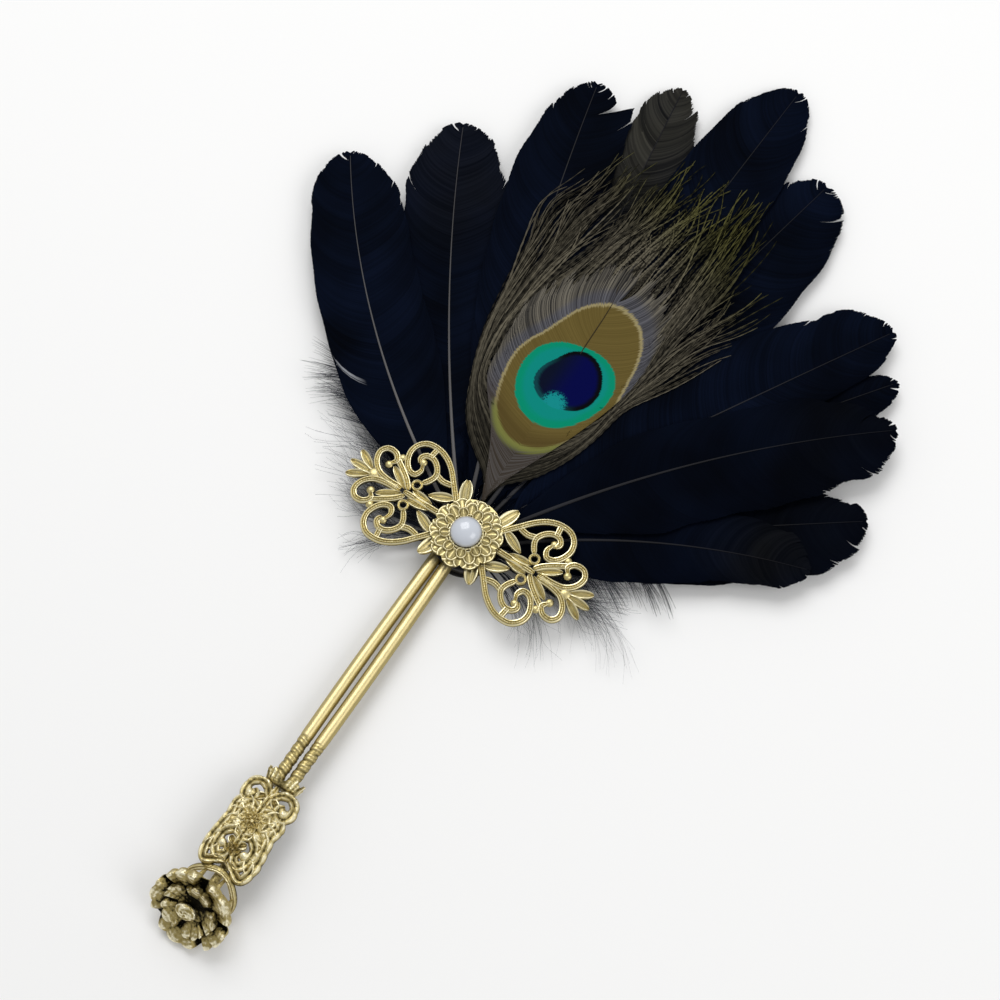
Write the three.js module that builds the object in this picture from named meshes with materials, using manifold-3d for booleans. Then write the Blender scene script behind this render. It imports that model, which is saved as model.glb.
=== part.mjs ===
// Feather fan: black goose feathers and one peacock eye feather are glued between two felt
// pads. A stamped openwork plate with a flower and a half-round pearl covers the pads, and
// two rods run from them to a leafy collar, an openwork grip and a flower-ended pommel.
// Millimetres. The fan lies on its back: +Z is the front, +Y runs from the pommel to the
// feather tips, and the origin is the middle of the back pad's rear face.
import Module from 'manifold-3d';
import * as THREE from 'three';
import { mergeVertices } from 'three/addons/utils/BufferGeometryUtils.js';

const wasm = await Module();
wasm.setup();

// Driving dimensions
const fitGap = 0.3;
const overrun = 1;
const weldDistance = 1e-5;

// Hub: two felt pads with the glue between them
const padRadius = 10;
const padThickness = 1;
const glueRadius = 9.3;
const glueThickness = 5.1;

// Feathers, given in lengths and turns from the hub
const featherLength = 176;
const featherHalfWidth = 15;
const quillRadius = 0.7;
const rachisTipRadius = 0.22;
const vaneThickness = 0.3;
const rootRadius = 5.7;
const firstFeatherHeight = 2.6;
const featherPitch = 1.2;
const vaneArch = 2.5;
const tipDroop = 1.6;
const rootFan = { first: -66, last: 73 };

// Peacock feather
const peacockLength = 94;
const peacockHalfWidth = 32;
const peacockQuillRadius = 0.65;
const peacockLayer = 2;
const strandWidth = 1.3;
const strandThickness = 0.5;

// Down tufts under the feathers
const downLength = 56;
const downThickness = 0.9;
const downHeight = 0.45;

// Filigree plate, one quadrant of it drawn and mirrored
const plateReach = 40;
const plateRise = 16;
const plateWireShare = 0.0375;
const plateThickness = 1.15;
const plateDiscRadius = 9.6;
const plateSag = 1.5;
const plateOffset = 1.2;
const plateTurn = 1.2;

// Flower cap and pearl
const flowerRadius = 10.7;
const flowerThickness = 1.7;
const pearlRadius = 4.5;
const pearlHeight = 4;

// Handle: its axis leaves the hub and rises until the pommel's rim rests level with the pad
const rodRadius = 1.6;
const rodAxisHeight = 3.6;
const rodTopGap = 0.35;
const rodBow = 1.1;
const rodFootGap = 0.8;
const rodTop = 0.5;
const beadedLength = 15;
const beadRise = 0.22;
const handleOffset = -2.5;
const handleYaw = 1.33;
const collarTop = 84;
const collarLength = 4.2;
const collarHalfWidth = 4.9;
const collarHalfDepth = 2.9;
const collarWall = 0.5;
const collarFloor = 0.9;
const gripHalfWidth = 7.7;
const gripLength = 28;
const gripWire = 1.6;
const gripThickness = 1.7;
const gripCrown = 3.6;
const tangRadius = 1.3;

// Pommel: a flower disc that closes an openwork cup
const pommelNeck = 10.8;
const pommelOffset = -0.44;
const pommelLean = 42;
const rosetteRadius = 12.1;
const rosetteThickness = 3.6;
const cupDepth = 8.2;
const cupRimRadius = 7.7;
const cupWire = 1.5;
const cupFloorRadius = 4;
const cupFloorThickness = 1.2;
const medallionLength = 6.4;
const medallionWidth = 5;
const medallionHeight = 1.6;

const material = (color, roughness, metalness) =>
  new THREE.MeshStandardMaterial({ color, roughness, metalness });
const paleGold = material(0xd9c27a, 0.34, 1);
const antiqueGold = material(0xb39a4c, 0.38, 1);
const blackFelt = material(0x0b0b0c, 0.95, 0);
const darkGlue = material(0x17140f, 0.4, 0);
const navyFeather = material(0x080c18, 0.6, 0);
const peacockVane = material(0x4c4a36, 0.7, 0);
const greyDown = material(0x24262b, 0.9, 0);
const pearlShell = material(0xe4e3e6, 0.18, 0);

const radians = THREE.MathUtils.degToRad;
const mix = THREE.MathUtils.lerp;

// Solids and their joins
function closed(source) {
  const geometry = source.index ? source.clone() : source;
  geometry.deleteAttribute('normal');
  geometry.deleteAttribute('uv');
  const merged = mergeVertices(geometry, weldDistance);
  const flip = signedVolume(merged) < 0;
  if (flip) {
    const index = merged.getIndex();
    for (let corner = 0; corner < index.count; corner += 3) {
      const second = index.getX(corner + 1);
      index.setX(corner + 1, index.getX(corner + 2));
      index.setX(corner + 2, second);
    }
  }
  return merged;
}

function signedVolume(geometry) {
  const place = geometry.getAttribute('position');
  const index = geometry.getIndex();
  const [a, b, c] = [new THREE.Vector3(), new THREE.Vector3(), new THREE.Vector3()];
  let volume = 0;
  for (let corner = 0; corner < index.count; corner += 3) {
    a.fromBufferAttribute(place, index.getX(corner));
    b.fromBufferAttribute(place, index.getX(corner + 1));
    c.fromBufferAttribute(place, index.getX(corner + 2));
    volume += a.dot(b.cross(c));
  }
  return volume;
}

function solid(geometry) {
  const shape = closed(geometry);
  const vertProperties = new Float32Array(shape.getAttribute('position').array);
  const triVerts = new Uint32Array(shape.getIndex().array);
  return new wasm.Manifold(new wasm.Mesh({ numProp: 3, vertProperties, triVerts }));
}

function geometryOf(body) {
  const { vertProperties, triVerts } = body.getMesh();
  const geometry = new THREE.BufferGeometry();
  geometry.setAttribute('position', new THREE.BufferAttribute(vertProperties, 3));
  geometry.setIndex(new THREE.BufferAttribute(triVerts, 1));
  return geometry;
}

const join = (geometries) => geometries.map(solid).reduce((whole, next) => whole.add(next));

// A skin over rings of points, its two ends closed by fans
function loft(rings) {
  const sides = rings[0].length;
  const spans = rings.length - 1;
  const index = [];
  for (let span = 0; span < spans; span += 1) {
    const here = span * sides;
    const there = here + sides;
    for (let side = 0; side < sides; side += 1) {
      const next = (side + 1) % sides;
      index.push(here + side, here + next, there + next);
      index.push(here + side, there + next, there + side);
    }
  }
  const far = spans * sides;
  for (let side = 1; side < sides - 1; side += 1) {
    index.push(0, side + 1, side);
    index.push(far, far + side, far + side + 1);
  }
  const geometry = new THREE.BufferGeometry().setFromPoints(rings.flat());
  geometry.setIndex(index);
  return geometry;
}

// Bends a geometry by moving each point along Z
function bent(geometry, rise) {
  const place = geometry.getAttribute('position');
  for (let point = 0; point < place.count; point += 1) {
    place.setZ(point, place.getZ(point) + rise(place.getX(point), place.getY(point)));
  }
  return geometry;
}

// A stamped wire: flat underneath, its shoulders chamfered to a ridge, along a flat curve
function wireSection(width, height) {
  const half = width / 2;
  const shoulderShare = 0.5;
  const outline = [[0, -half], [0, half], [-height * shoulderShare, half], [-height, 0],
    [-height * shoulderShare, -half]];
  return new THREE.Shape(outline.map(([x, y]) => new THREE.Vector2(x, y)));
}

function wire(points, width, height, steps, ring = false) {
  const path = new THREE.CatmullRomCurve3(points, ring, 'centripetal');
  const settings = { steps, extrudePath: path, bevelEnabled: false };
  return new THREE.ExtrudeGeometry(wireSection(width, height), settings);
}

// A pointed leaf with a raised middle, from one point to another
function leaf(start, end, width, height) {
  const along = end.clone().sub(start);
  const across = new THREE.Vector3(-along.y, along.x, 0).setLength(width / 2);
  const lift = new THREE.Vector3(0, 0, height);
  const formShares = [0.12, 0.72, 1, 0.78, 0.12];
  const rings = formShares.map((form, station) => {
    const middle = start.clone().addScaledVector(along, station / (formShares.length - 1));
    const left = middle.clone().addScaledVector(across, form);
    const right = middle.clone().addScaledVector(across, -form);
    const edge = lift.clone().multiplyScalar(0.45);
    return [left, right, right.clone().add(edge), middle.clone().add(lift), left.clone().add(edge)];
  });
  return loft(rings);
}

// A disc whose rim and front follow formulas of the share of its radius and of the turn
function carvedDisc(radius, thickness, spokes, rows, rimAt, heightAt) {
  const points = [new THREE.Vector3(0, 0, thickness * heightAt(0, 0)), new THREE.Vector3()];
  const ringPoint = (share, spoke, flat) => {
    const turn = (spoke / spokes) * Math.PI * 2;
    const reach = radius * share * mix(1, rimAt(turn), share);
    const height = flat ? 0 : thickness * heightAt(share, turn);
    return new THREE.Vector3(reach * Math.cos(turn), reach * Math.sin(turn), height);
  };
  for (let row = 1; row <= rows; row += 1) {
    for (let spoke = 0; spoke < spokes; spoke += 1) {
      points.push(ringPoint(row / rows, spoke, false));
    }
  }
  for (let spoke = 0; spoke < spokes; spoke += 1) {
    points.push(ringPoint(1, spoke, true));
  }
  const at = (row, spoke) => 2 + row * spokes + (spoke % spokes);
  const index = [];
  for (let spoke = 0; spoke < spokes; spoke += 1) {
    index.push(0, at(0, spoke), at(0, spoke + 1));
    index.push(1, at(rows, spoke + 1), at(rows, spoke));
    for (let row = 0; row < rows; row += 1) {
      index.push(at(row, spoke), at(row + 1, spoke), at(row + 1, spoke + 1));
      index.push(at(row, spoke), at(row + 1, spoke + 1), at(row, spoke + 1));
    }
  }
  const geometry = new THREE.BufferGeometry().setFromPoints(points);
  geometry.setIndex(index);
  return geometry;
}

function bulb(centre, radius, height) {
  const geometry = new THREE.SphereGeometry(radius, 8, 4);
  geometry.rotateX(Math.PI / 2);
  geometry.scale(1, 1, height / radius / 2);
  return geometry.translate(centre.x, centre.y, height / 2);
}

function discAt(bottom, radius, thickness, segments = 40) {
  const geometry = new THREE.CylinderGeometry(radius, radius, thickness, segments);
  return geometry.rotateX(Math.PI / 2).translate(0, 0, bottom + thickness / 2);
}

const fan = new THREE.Group();

function part(name, geometry, look, parent = fan) {
  const mesh = new THREE.Mesh(closed(geometry), look);
  mesh.name = name;
  parent.add(mesh);
  return mesh;
}

// Heights of the hub's layers, one gap apart
const glueBottom = padThickness + fitGap;
const frontPadBottom = glueBottom + glueThickness + fitGap;
const plateBottom = frontPadBottom + padThickness + fitGap;
const flowerBottom = plateBottom + plateThickness + fitGap;
const pearlBottom = flowerBottom + flowerThickness * 0.62 + fitGap;

// Feathers: a round quill that flattens into a thin vane with a raised shaft. All of them
// follow one dome, each in its own layer, so that neighbours overlap without touching
const polar = (reach, turn) =>
  new THREE.Vector2(reach * Math.sin(radians(turn)), reach * Math.cos(radians(turn)));

function vaneRise(x, y) {
  const share = Math.max(0, (Math.hypot(x, y) - padRadius) / (featherLength - padRadius));
  return vaneArch * 4 * share * (1 - share) - tipDroop * share * share;
}

// Each goose feather is as long as its reach share of the longest, bends aside by its bow
// share, and is widest on each side of the shaft from its swell share on
const gooseFeathers = [
  {
    turn: -50.8, reachShare: 0.725, bowShare: 0.12, leftShare: 0.94, rightShare: 1.06,
    swellShare: 0.38, layer: 1,
  },
  {
    turn: -35.3, reachShare: 0.755, bowShare: 0.06, leftShare: 1.02, rightShare: 1.14,
    swellShare: 0.5, layer: 0,
  },
  {
    turn: -19.6, reachShare: 0.862, bowShare: 0.034, leftShare: 1.02, rightShare: 1.02,
    swellShare: 0.62, layer: 1,
  },
  {
    turn: -10.4, reachShare: 0.905, bowShare: 0, leftShare: 0.92, rightShare: 0.9,
    swellShare: 0.6, layer: 0,
  },
  {
    turn: 0.3, reachShare: 1, bowShare: 0, leftShare: 1.05, rightShare: 0.95,
    swellShare: 0.62, layer: 1,
  },
  {
    turn: 9.2, reachShare: 0.886, bowShare: 0, leftShare: 1.06, rightShare: 1.12,
    swellShare: 0.6, layer: 0,
  },
  {
    turn: 28.2, reachShare: 0.798, bowShare: 0, leftShare: 1.05, rightShare: 0.7,
    swellShare: 0.4, layer: 1,
  },
  {
    turn: 34.2, reachShare: 0.764, bowShare: 0, leftShare: 0.5, rightShare: 0.42,
    swellShare: 0.48, layer: 0,
  },
  {
    turn: 40.6, reachShare: 0.728, bowShare: 0.08, leftShare: 0.7, rightShare: 1.16,
    swellShare: 0.4, layer: 2,
  },
  {
    turn: 52.5, reachShare: 0.65, bowShare: 0, leftShare: 0.75, rightShare: 1.08,
    swellShare: 0.52, layer: 0,
  },
  {
    turn: 61, reachShare: 0.555, bowShare: 0.1, leftShare: 0.8, rightShare: 0.8,
    swellShare: 0.3, layer: 1,
  },
];

function rootTurn(order) {
  return mix(rootFan.first, rootFan.last, order / (gooseFeathers.length - 1));
}

// The shaft's line in plan, from its root in the glue to its tip, bowed to the left
function shaftLine(root, tip, bowShare) {
  const along = tip.clone().sub(root);
  const across = new THREE.Vector2(-along.y, along.x).multiplyScalar(bowShare);
  const middle = root.clone().add(tip).multiplyScalar(0.5).add(across);
  return new THREE.QuadraticBezierCurve(root, middle, tip);
}

// Half-width of the vane as a share, from its downy foot to its broad, blunt tip
const vaneStartShare = 0.1;
const vaneForm = (share, swellShare) => {
  const along = Math.max(0, (share - vaneStartShare) / (1 - vaneStartShare));
  const swell = Math.sin(Math.min(1, along / swellShare) * Math.PI / 2);
  return swell * Math.sqrt(Math.max(0, 1 - along ** 9));
};

const shaftStationShares = [0, 0.05, 0.1, 0.18, 0.28, 0.39, 0.5, 0.62, 0.73, 0.83, 0.9, 0.945,
  0.977, 0.994];

// The section across a shaft and its two vanes: thin edges, and a rounded ridge between them
function vaneSection(middle, across, height, shaft, left, right, edge) {
  const at = (offset, rise) =>
    new THREE.Vector3(middle.x + across.x * offset, middle.y + across.y * offset, height + rise);
  const foot = Math.max(edge, shaft * 0.3);
  return [at(-left, 0), at(-shaft, foot), at(0, shaft), at(shaft, foot),
    at(right, 0), at(shaft, -foot), at(0, -shaft), at(-shaft, -foot)];
}

function gooseLine(spec, order) {
  const root = polar(rootRadius, rootTurn(order));
  return shaftLine(root, polar(featherLength * spec.reachShare, spec.turn), spec.bowShare);
}

const layerHeight = (layer) => firstFeatherHeight + featherPitch * layer;

function gooseFeather(spec, order) {
  const line = gooseLine(spec, order);
  const height = layerHeight(spec.layer);
  return loft(shaftStationShares.map((share) => {
    const middle = line.getPoint(share);
    const tangent = line.getTangent(share);
    const shaft = mix(quillRadius, rachisTipRadius, share);
    const form = featherHalfWidth * vaneForm(share, spec.swellShare);
    const left = Math.max(shaft, form * spec.leftShare);
    const right = Math.max(shaft, form * spec.rightShare);
    const across = new THREE.Vector2(tangent.y, -tangent.x);
    const rise = vaneRise(middle.x, middle.y);
    return vaneSection(middle, across, height + rise, shaft, left, right, vaneThickness / 2);
  }));
}

// The channel that a quill lies in: its own line, with the glue's clearance round it
function channel(line, height, radius) {
  const length = line.getLength();
  return loft([-fitGap / length, 0, (glueRadius + overrun) / length].map((share) => {
    const middle = line.getPoint(share);
    const tangent = line.getTangent(Math.max(0, share));
    const across = new THREE.Vector2(tangent.y, -tangent.x);
    return vaneSection(middle, across, height, radius, radius, radius, radius * 0.9);
  }));
}

gooseFeathers.forEach((spec, order) => {
  part(`goose_feather_${order + 1}`, gooseFeather(spec, order), navyFeather);
});

// Peacock feather: a close vane round the shaft that holds the eye, and a fringe of loose
// strands that fan out past its top
const peacockRootTurn = -30;
const peacockRoot = polar(rootRadius, peacockRootTurn);
const peacockTop = new THREE.Vector2(-0.03 * peacockLength, peacockLength + rootRadius);
const peacockLine = shaftLine(peacockRoot, peacockTop, 0);
const peacockLeftShares = [0, 0.02, 0.31, 0.53, 0.73, 0.87, 0.96, 1.01, 1.03, 0.98, 0.8, 0.4];
const peacockRightShares = [0, 0.02, 0.13, 0.29, 0.45, 0.57, 0.7, 0.82, 0.9, 0.9, 0.76, 0.4];

function peacockVaneSolid() {
  const last = peacockLeftShares.length - 1;
  return loft(peacockLeftShares.map((leftShare, station) => {
    const share = station / last;
    const middle = peacockLine.getPoint(share);
    const tangent = peacockLine.getTangent(share);
    const shaft = mix(peacockQuillRadius, rachisTipRadius, share);
    const left = Math.max(shaft, peacockHalfWidth * leftShare);
    const right = Math.max(shaft, peacockHalfWidth * peacockRightShares[station]);
    const across = new THREE.Vector2(tangent.y, -tangent.x);
    const height = layerHeight(peacockLayer) + vaneRise(middle.x, middle.y);
    return vaneSection(middle, across, height, shaft, left, right, vaneThickness / 2);
  }));
}

const fringe = {
  count: 26, first: -25.5, last: 25, centreShare: 0.14, footShare: 0.56, tipShare: 1.277,
};

function strand(order) {
  const share = order / (fringe.count - 1);
  const turn = mix(fringe.first, fringe.last, share);
  const side = Math.abs(share * 2 - 1);
  const centre = peacockLine.getPoint(fringe.centreShare);
  const trim = (1 - 0.3 * side ** 4) * (order % 2 ? 1 : 0.95);
  const length = peacockLength * fringe.tipShare * trim;
  const stations = 4;
  const rings = Array.from({ length: stations + 1 }, (_, station) => {
    const place = station / stations;
    const along = mix(peacockLength * fringe.footShare, length, place);
    const sway = (1 - side) * Math.sin(order * 0.7 + place * 2);
    const middle = polar(along, turn + sway).add(centre);
    const half = (strandWidth / 2) * mix(1, 0.35, place);
    const across = polar(half, turn + 90);
    const height = layerHeight(peacockLayer) + vaneRise(middle.x, middle.y) - strandThickness / 2;
    const at = (offset, rise) => new THREE.Vector3(middle.x + across.x * offset,
      middle.y + across.y * offset, height + rise);
    return [at(-1, 0), at(1, 0), at(0, strandThickness)];
  });
  return loft(rings);
}

function peacockFeather() {
  const strands = Array.from({ length: fringe.count }, (_, order) => strand(order));
  return geometryOf(join([peacockVaneSolid(), ...strands]));
}

part('peacock_feather', peacockFeather(), peacockVane);

// Down tufts: thin fans of wisps that stand out under the feathers on both sides
function downTuft(firstTurn, lastTurn, wisps, reachShares) {
  const foot = glueRadius + fitGap * 2;
  const shape = new THREE.Shape();
  const start = polar(foot, firstTurn);
  shape.moveTo(start.x, start.y);
  for (let wisp = 0; wisp < wisps; wisp += 1) {
    const middle = mix(firstTurn, lastTurn, (wisp + 0.5) / wisps);
    const tip = polar(downLength * reachShares[wisp % reachShares.length], middle);
    shape.lineTo(tip.x, tip.y);
    const valley = polar(downLength * 0.55, mix(firstTurn, lastTurn, (wisp + 1) / wisps));
    if (wisp < wisps - 1) {
      shape.lineTo(valley.x, valley.y);
    }
  }
  const arcSteps = 4;
  for (let step = 0; step < arcSteps; step += 1) {
    const inner = polar(foot, mix(lastTurn, firstTurn, step / arcSteps));
    shape.lineTo(inner.x, inner.y);
  }
  const settings = { depth: downThickness, bevelEnabled: false };
  return new THREE.ExtrudeGeometry(shape, settings).translate(0, 0, padThickness + downHeight);
}

const leftWispShares = [0.72, 0.86, 1, 1.1, 1, 1.16];
const rightWispShares = [1, 0.9, 0.78, 0.66];
part('down_tuft_left', downTuft(-130, -68, 9, leftWispShares), greyDown);
part('down_tuft_right', downTuft(76, 110, 6, rightWispShares), greyDown);

// Hub
part('back_felt_pad', discAt(0, padRadius, padThickness), blackFelt);
part('front_felt_pad', discAt(frontPadBottom, padRadius, padThickness), blackFelt);

// Filigree plate. Outlines of one quadrant, as shares of the plate's half length and rise
const quadrantPoints = (shares) =>
  shares.map(([x, y]) => new THREE.Vector3(x * plateReach, y * plateRise, 0));
const outerScrollShares = [[0.17, 0.24], [0.225, 0.42], [0.29, 0.61], [0.355, 0.79], [0.43, 0.93],
  [0.51, 1], [0.6, 0.99], [0.66, 0.87], [0.68, 0.69], [0.655, 0.5], [0.61, 0.385],
  [0.56, 0.37], [0.535, 0.48], [0.55, 0.6]];
const innerScrollShares = [[0.575, 0.6], [0.59, 0.7], [0.56, 0.785], [0.51, 0.79], [0.46, 0.71],
  [0.427, 0.575], [0.437, 0.44], [0.478, 0.285]];
const branchShares = [[0.425, 0.575], [0.36, 0.53], [0.285, 0.56]];
const sideScrollShares = [[0.58, 0.03], [0.7, 0.035], [0.79, 0.09], [0.85, 0.24], [0.865, 0.42],
  [0.825, 0.54], [0.76, 0.53], [0.725, 0.42], [0.75, 0.32]];
const tendrilShares = [[0.725, 0.45], [0.65, 0.33], [0.58, 0.2], [0.53, 0.06]];
const axisBarShares = [[0.2, 0], [0.35, 0], [0.55, 0]];
const eyelet = { acrossShare: 0.4975, upShare: 0.22, radiusShare: 0.046, holeShare: 0.02 };
const plateLeaves = [
  { fromShares: [0.39, 0.17], toShares: [0.22, 0.37], widthShare: 0.068 },
  { fromShares: [0.56, 0.05], toShares: [0.715, 0.3], widthShare: 0.048 },
  { fromShares: [0.13, 0.3], toShares: [0.215, 0.8], widthShare: 0.095 },
  { fromShares: [0.83, 0.04], toShares: [0.985, 0.26], widthShare: 0.058 },
];
const lotusLeaf = { fromShares: [0.8, 0], toShares: [1.01, 0], widthShare: 0.058 };
const plateWire = plateReach * plateWireShare;
const bulbRadius = plateReach * 0.031;
const bulbShares = [[0.557, 0.64], [0.757, 0.29], [0.703, 0.52]];
const lotusFoot = { placeShare: 0.812, radiusShare: 0.05 };
const bridgeShares = [[0.535, 0.8], [0.525, 0.985]];

function mirrored(geometry, x, y) {
  return geometry.clone().scale(x, y, 1);
}

function eyeletRing() {
  const radius = plateReach * eyelet.radiusShare;
  const hole = plateReach * eyelet.holeShare;
  const shoulder = plateThickness * 0.7;
  const outline = [[hole, 0], [radius, 0], [radius, shoulder],
    [mix(hole, radius, 0.5), plateThickness], [hole, shoulder], [hole, 0]];
  const profile = outline.map(([x, y]) => new THREE.Vector2(x, y));
  const geometry = new THREE.LatheGeometry(profile, 12).rotateX(Math.PI / 2);
  return geometry.translate(eyelet.acrossShare * plateReach, eyelet.upShare * plateRise, 0);
}

function plateLeaf({ fromShares, toShares, widthShare }) {
  const [from, to] = quadrantPoints([fromShares, toShares]);
  return leaf(from, to, plateReach * widthShare, plateThickness);
}

function plateQuadrant() {
  const line = (shares, steps, width = plateWire) =>
    wire(quadrantPoints(shares), width, plateThickness, steps);
  const bulbs = quadrantPoints(bulbShares).map((at) => bulb(at, bulbRadius, plateThickness));
  return [
    line(outerScrollShares, 22),
    line(innerScrollShares, 12),
    line(branchShares, 3),
    line(sideScrollShares, 13),
    line(tendrilShares, 4),
    line(bridgeShares, 1),
    eyeletRing(),
    ...plateLeaves.map(plateLeaf),
    ...bulbs,
  ];
}

function filigreePlate() {
  const quadrant = join(plateQuadrant());
  const shape = geometryOf(quadrant);
  const signs = [[1, 1], [-1, 1], [-1, -1], [1, -1]];
  const quarters = signs.map(([x, y]) => mirrored(shape, x, y));
  const half = [wire(quadrantPoints(axisBarShares), plateWire, plateThickness, 3),
    plateLeaf(lotusLeaf),
    bulb(new THREE.Vector3(lotusFoot.placeShare * plateReach, 0, 0),
      plateReach * lotusFoot.radiusShare, plateThickness)];
  const bars = half.flatMap((piece) => [piece, mirrored(piece, -1, 1)]);
  const disc = discAt(0, plateDiscRadius, plateThickness * 0.8, 32);
  const whole = geometryOf(join([...quarters, ...bars, disc]));
  const wing = plateReach - padRadius;
  return bent(whole, (x) => -plateSag * (Math.max(0, Math.abs(x) - padRadius) / wing) ** 2);
}

const plate = part('filigree_plate', filigreePlate(), paleGold);
plate.position.set(0, plateOffset, plateBottom);
plate.rotation.z = radians(plateTurn);

// Flower cap: two rows of eight petals round a flat seat for the pearl
const petalWave = (turn, count) => Math.abs(Math.cos((turn * count) / 2));
const flowerPetals = 8;

function flowerHeight(share, turn) {
  const seatShare = pearlRadius / flowerRadius;
  if (share <= seatShare + 0.03) {
    return 0.62;
  }
  const outer = petalWave(turn, flowerPetals);
  const inner = petalWave(turn + Math.PI / flowerPetals, flowerPetals);
  return share < 0.7 ? mix(0.6, 1, inner) : mix(0.3, 0.85, outer * (1 - share / 2));
}

const flower = part('flower_cap', carvedDisc(flowerRadius, flowerThickness, 48, 7,
  (turn) => mix(0.84, 1, petalWave(turn, flowerPetals) ** 0.6), flowerHeight), paleGold);
flower.position.set(0, 0, flowerBottom);

function halfPearl() {
  const steps = 7;
  const undercut = -0.35;
  const foot = Math.sin(undercut);
  const profile = [new THREE.Vector2(0, 0)];
  for (let step = 0; step <= steps; step += 1) {
    const turn = mix(undercut, Math.PI / 2, step / steps);
    const height = pearlHeight * ((Math.sin(turn) - foot) / (1 - foot));
    profile.push(new THREE.Vector2(step === steps ? 0 : pearlRadius * Math.cos(turn), height));
  }
  return new THREE.LatheGeometry(profile, 24).rotateX(Math.PI / 2);
}

const pearl = part('pearl', halfPearl(), pearlShell);
pearl.position.set(0, 0, pearlBottom);

// Handle: one group turned so that its own -Y axis rises from the hub to the pommel
const handle = new THREE.Group();
const gripTop = -(collarTop + collarLength + fitGap);
const pommelDistance = gripLength - gripTop + pommelNeck;
const pommelHeight = rosetteRadius * Math.cos(radians(pommelLean));
const handlePitch = Math.asin((pommelHeight - rodAxisHeight) / pommelDistance);
const handleTurn = new THREE.Group();
handleTurn.position.set(handleOffset, 0, rodAxisHeight);
handleTurn.rotation.z = radians(handleYaw);
handle.rotation.x = -handlePitch;
handleTurn.add(handle);
fan.add(handleTurn);

// Stem rods: drawn rod, close together at the hub and bowed apart below it, with a beaded foot
const rodFootY = -(collarTop + collarLength - collarFloor - fitGap);
const beadCount = 5;

function rod(side, extra = 0) {
  const stations = 26;
  const sides = 8;
  const top = rodTop + extra;
  const foot = rodFootY;
  const rings = Array.from({ length: stations + 1 }, (_, station) => {
    const share = station / stations;
    const beaded = share > 0.4;
    const y = beaded ? mix(foot + beadedLength, foot, (share - 0.4) / 0.6)
      : mix(top, foot + beadedLength, share / 0.4);
    const along = (top - y) / (top - foot);
    const opening = mix(rodTopGap, rodFootGap, along) + rodBow * Math.sin(along * Math.PI);
    const x = side * (rodRadius + opening / 2);
    const bead = beaded ? Math.abs(Math.sin(((share - 0.4) / 0.6) * Math.PI * beadCount)) : 1;
    const radius = rodRadius + extra - beadRise * (1 - bead);
    return Array.from({ length: sides }, (_, corner) => {
      const turn = ((corner + 0.5) / sides) * Math.PI * 2;
      return new THREE.Vector3(x + radius * Math.cos(turn), y, radius * Math.sin(turn));
    });
  });
  return loft(rings);
}

part('stem_rod_left', rod(-1), antiqueGold, handle);
part('stem_rod_right', rod(1), antiqueGold, handle);

// Hub glue: a set disc with a channel for each quill and both rods
function hubGlue() {
  handleTurn.updateMatrixWorld(true);
  const rods = [-1, 1].map((side) => rod(side, fitGap).applyMatrix4(handle.matrixWorld));
  const quills = gooseFeathers.map((spec, order) =>
    channel(gooseLine(spec, order), layerHeight(spec.layer), quillRadius + fitGap));
  quills.push(channel(peacockLine, layerHeight(peacockLayer), peacockQuillRadius + fitGap));
  const disc = solid(discAt(glueBottom, glueRadius, glueThickness, 32));
  return geometryOf([...rods, ...quills].map(solid).reduce((left, cut) => left.subtract(cut), disc));
}

part('hub_glue', hubGlue(), darkGlue);

// Leaf collar: an oval cup of upright leaves round the rods' feet
const collarLeaves = 6;

function leafCollar() {
  const sides = 24;
  const base = -(collarTop + collarLength);
  const full = (value) => Math.sign(value) * Math.abs(value) ** 0.7;
  const oval = (turn, wide, deep, y) =>
    new THREE.Vector3(wide * full(Math.cos(turn)), y, deep * full(Math.sin(turn)));
  const ringAt = (flare, inset, heightAt) => Array.from({ length: sides }, (_, side) => {
    const turn = (side / sides) * Math.PI * 2;
    const wide = collarHalfWidth * flare - inset;
    const deep = collarHalfDepth * flare - inset;
    return oval(turn, wide, deep, base + heightAt(turn));
  });
  const rimHeight = (turn) => collarLength * mix(0.55, 1, petalWave(turn, collarLeaves) ** 0.7);
  return loft([
    ringAt(0.75, 0, () => 0),
    ringAt(0.98, 0, () => collarLength * 0.2),
    ringAt(1, 0, (turn) => rimHeight(turn) * 0.7),
    ringAt(1.14, 0, rimHeight),
    ringAt(1.14, collarWall, rimHeight),
    ringAt(1, collarWall, (turn) => rimHeight(turn) * 0.7),
    ringAt(1, collarWall, () => collarFloor),
  ]);
}

part('leaf_collar', leafCollar(), antiqueGold, handle);

// Openwork grip: a bowed casting of scrolls and leaves. Outlines of its right half are shares
// of its half width and length, drawn flat from the top edge down and then bent over
const gripPoints = (shares) =>
  shares.map(([x, y]) => new THREE.Vector3(x * gripHalfWidth, -y * gripLength, 0));
const earScrollShares = [[0, 0.17], [0.2, 0.11], [0.42, 0.065], [0.68, 0.06], [0.9, 0.1],
  [0.95, 0.19], [0.8, 0.26], [0.58, 0.235], [0.5, 0.18], [0.64, 0.145]];
const railShares = [[0.82, 0.25], [0.93, 0.33], [0.86, 0.45], [0.92, 0.6], [0.97, 0.75],
  [0.9, 0.88], [0.7, 0.97], [0.4, 0.95], [0, 1]];
const heartScrollShares = [[0, 0.6], [0.3, 0.57], [0.62, 0.63], [0.66, 0.77], [0.42, 0.86],
  [0.18, 0.8], [0.3, 0.72]];
const crossBandShares = [[0.12, 0.36], [0.5, 0.33], [0.9, 0.36]];
const gripLeaves = [
  { fromShares: [0.25, 0.45], toShares: [0.88, 0.55], widthShare: 0.39 },
  { fromShares: [0.3, 0.36], toShares: [0.72, 0.22], widthShare: 0.39 },
  { fromShares: [0.6, 0.72], toShares: [0.95, 0.86], widthShare: 0.31 },
];
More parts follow.
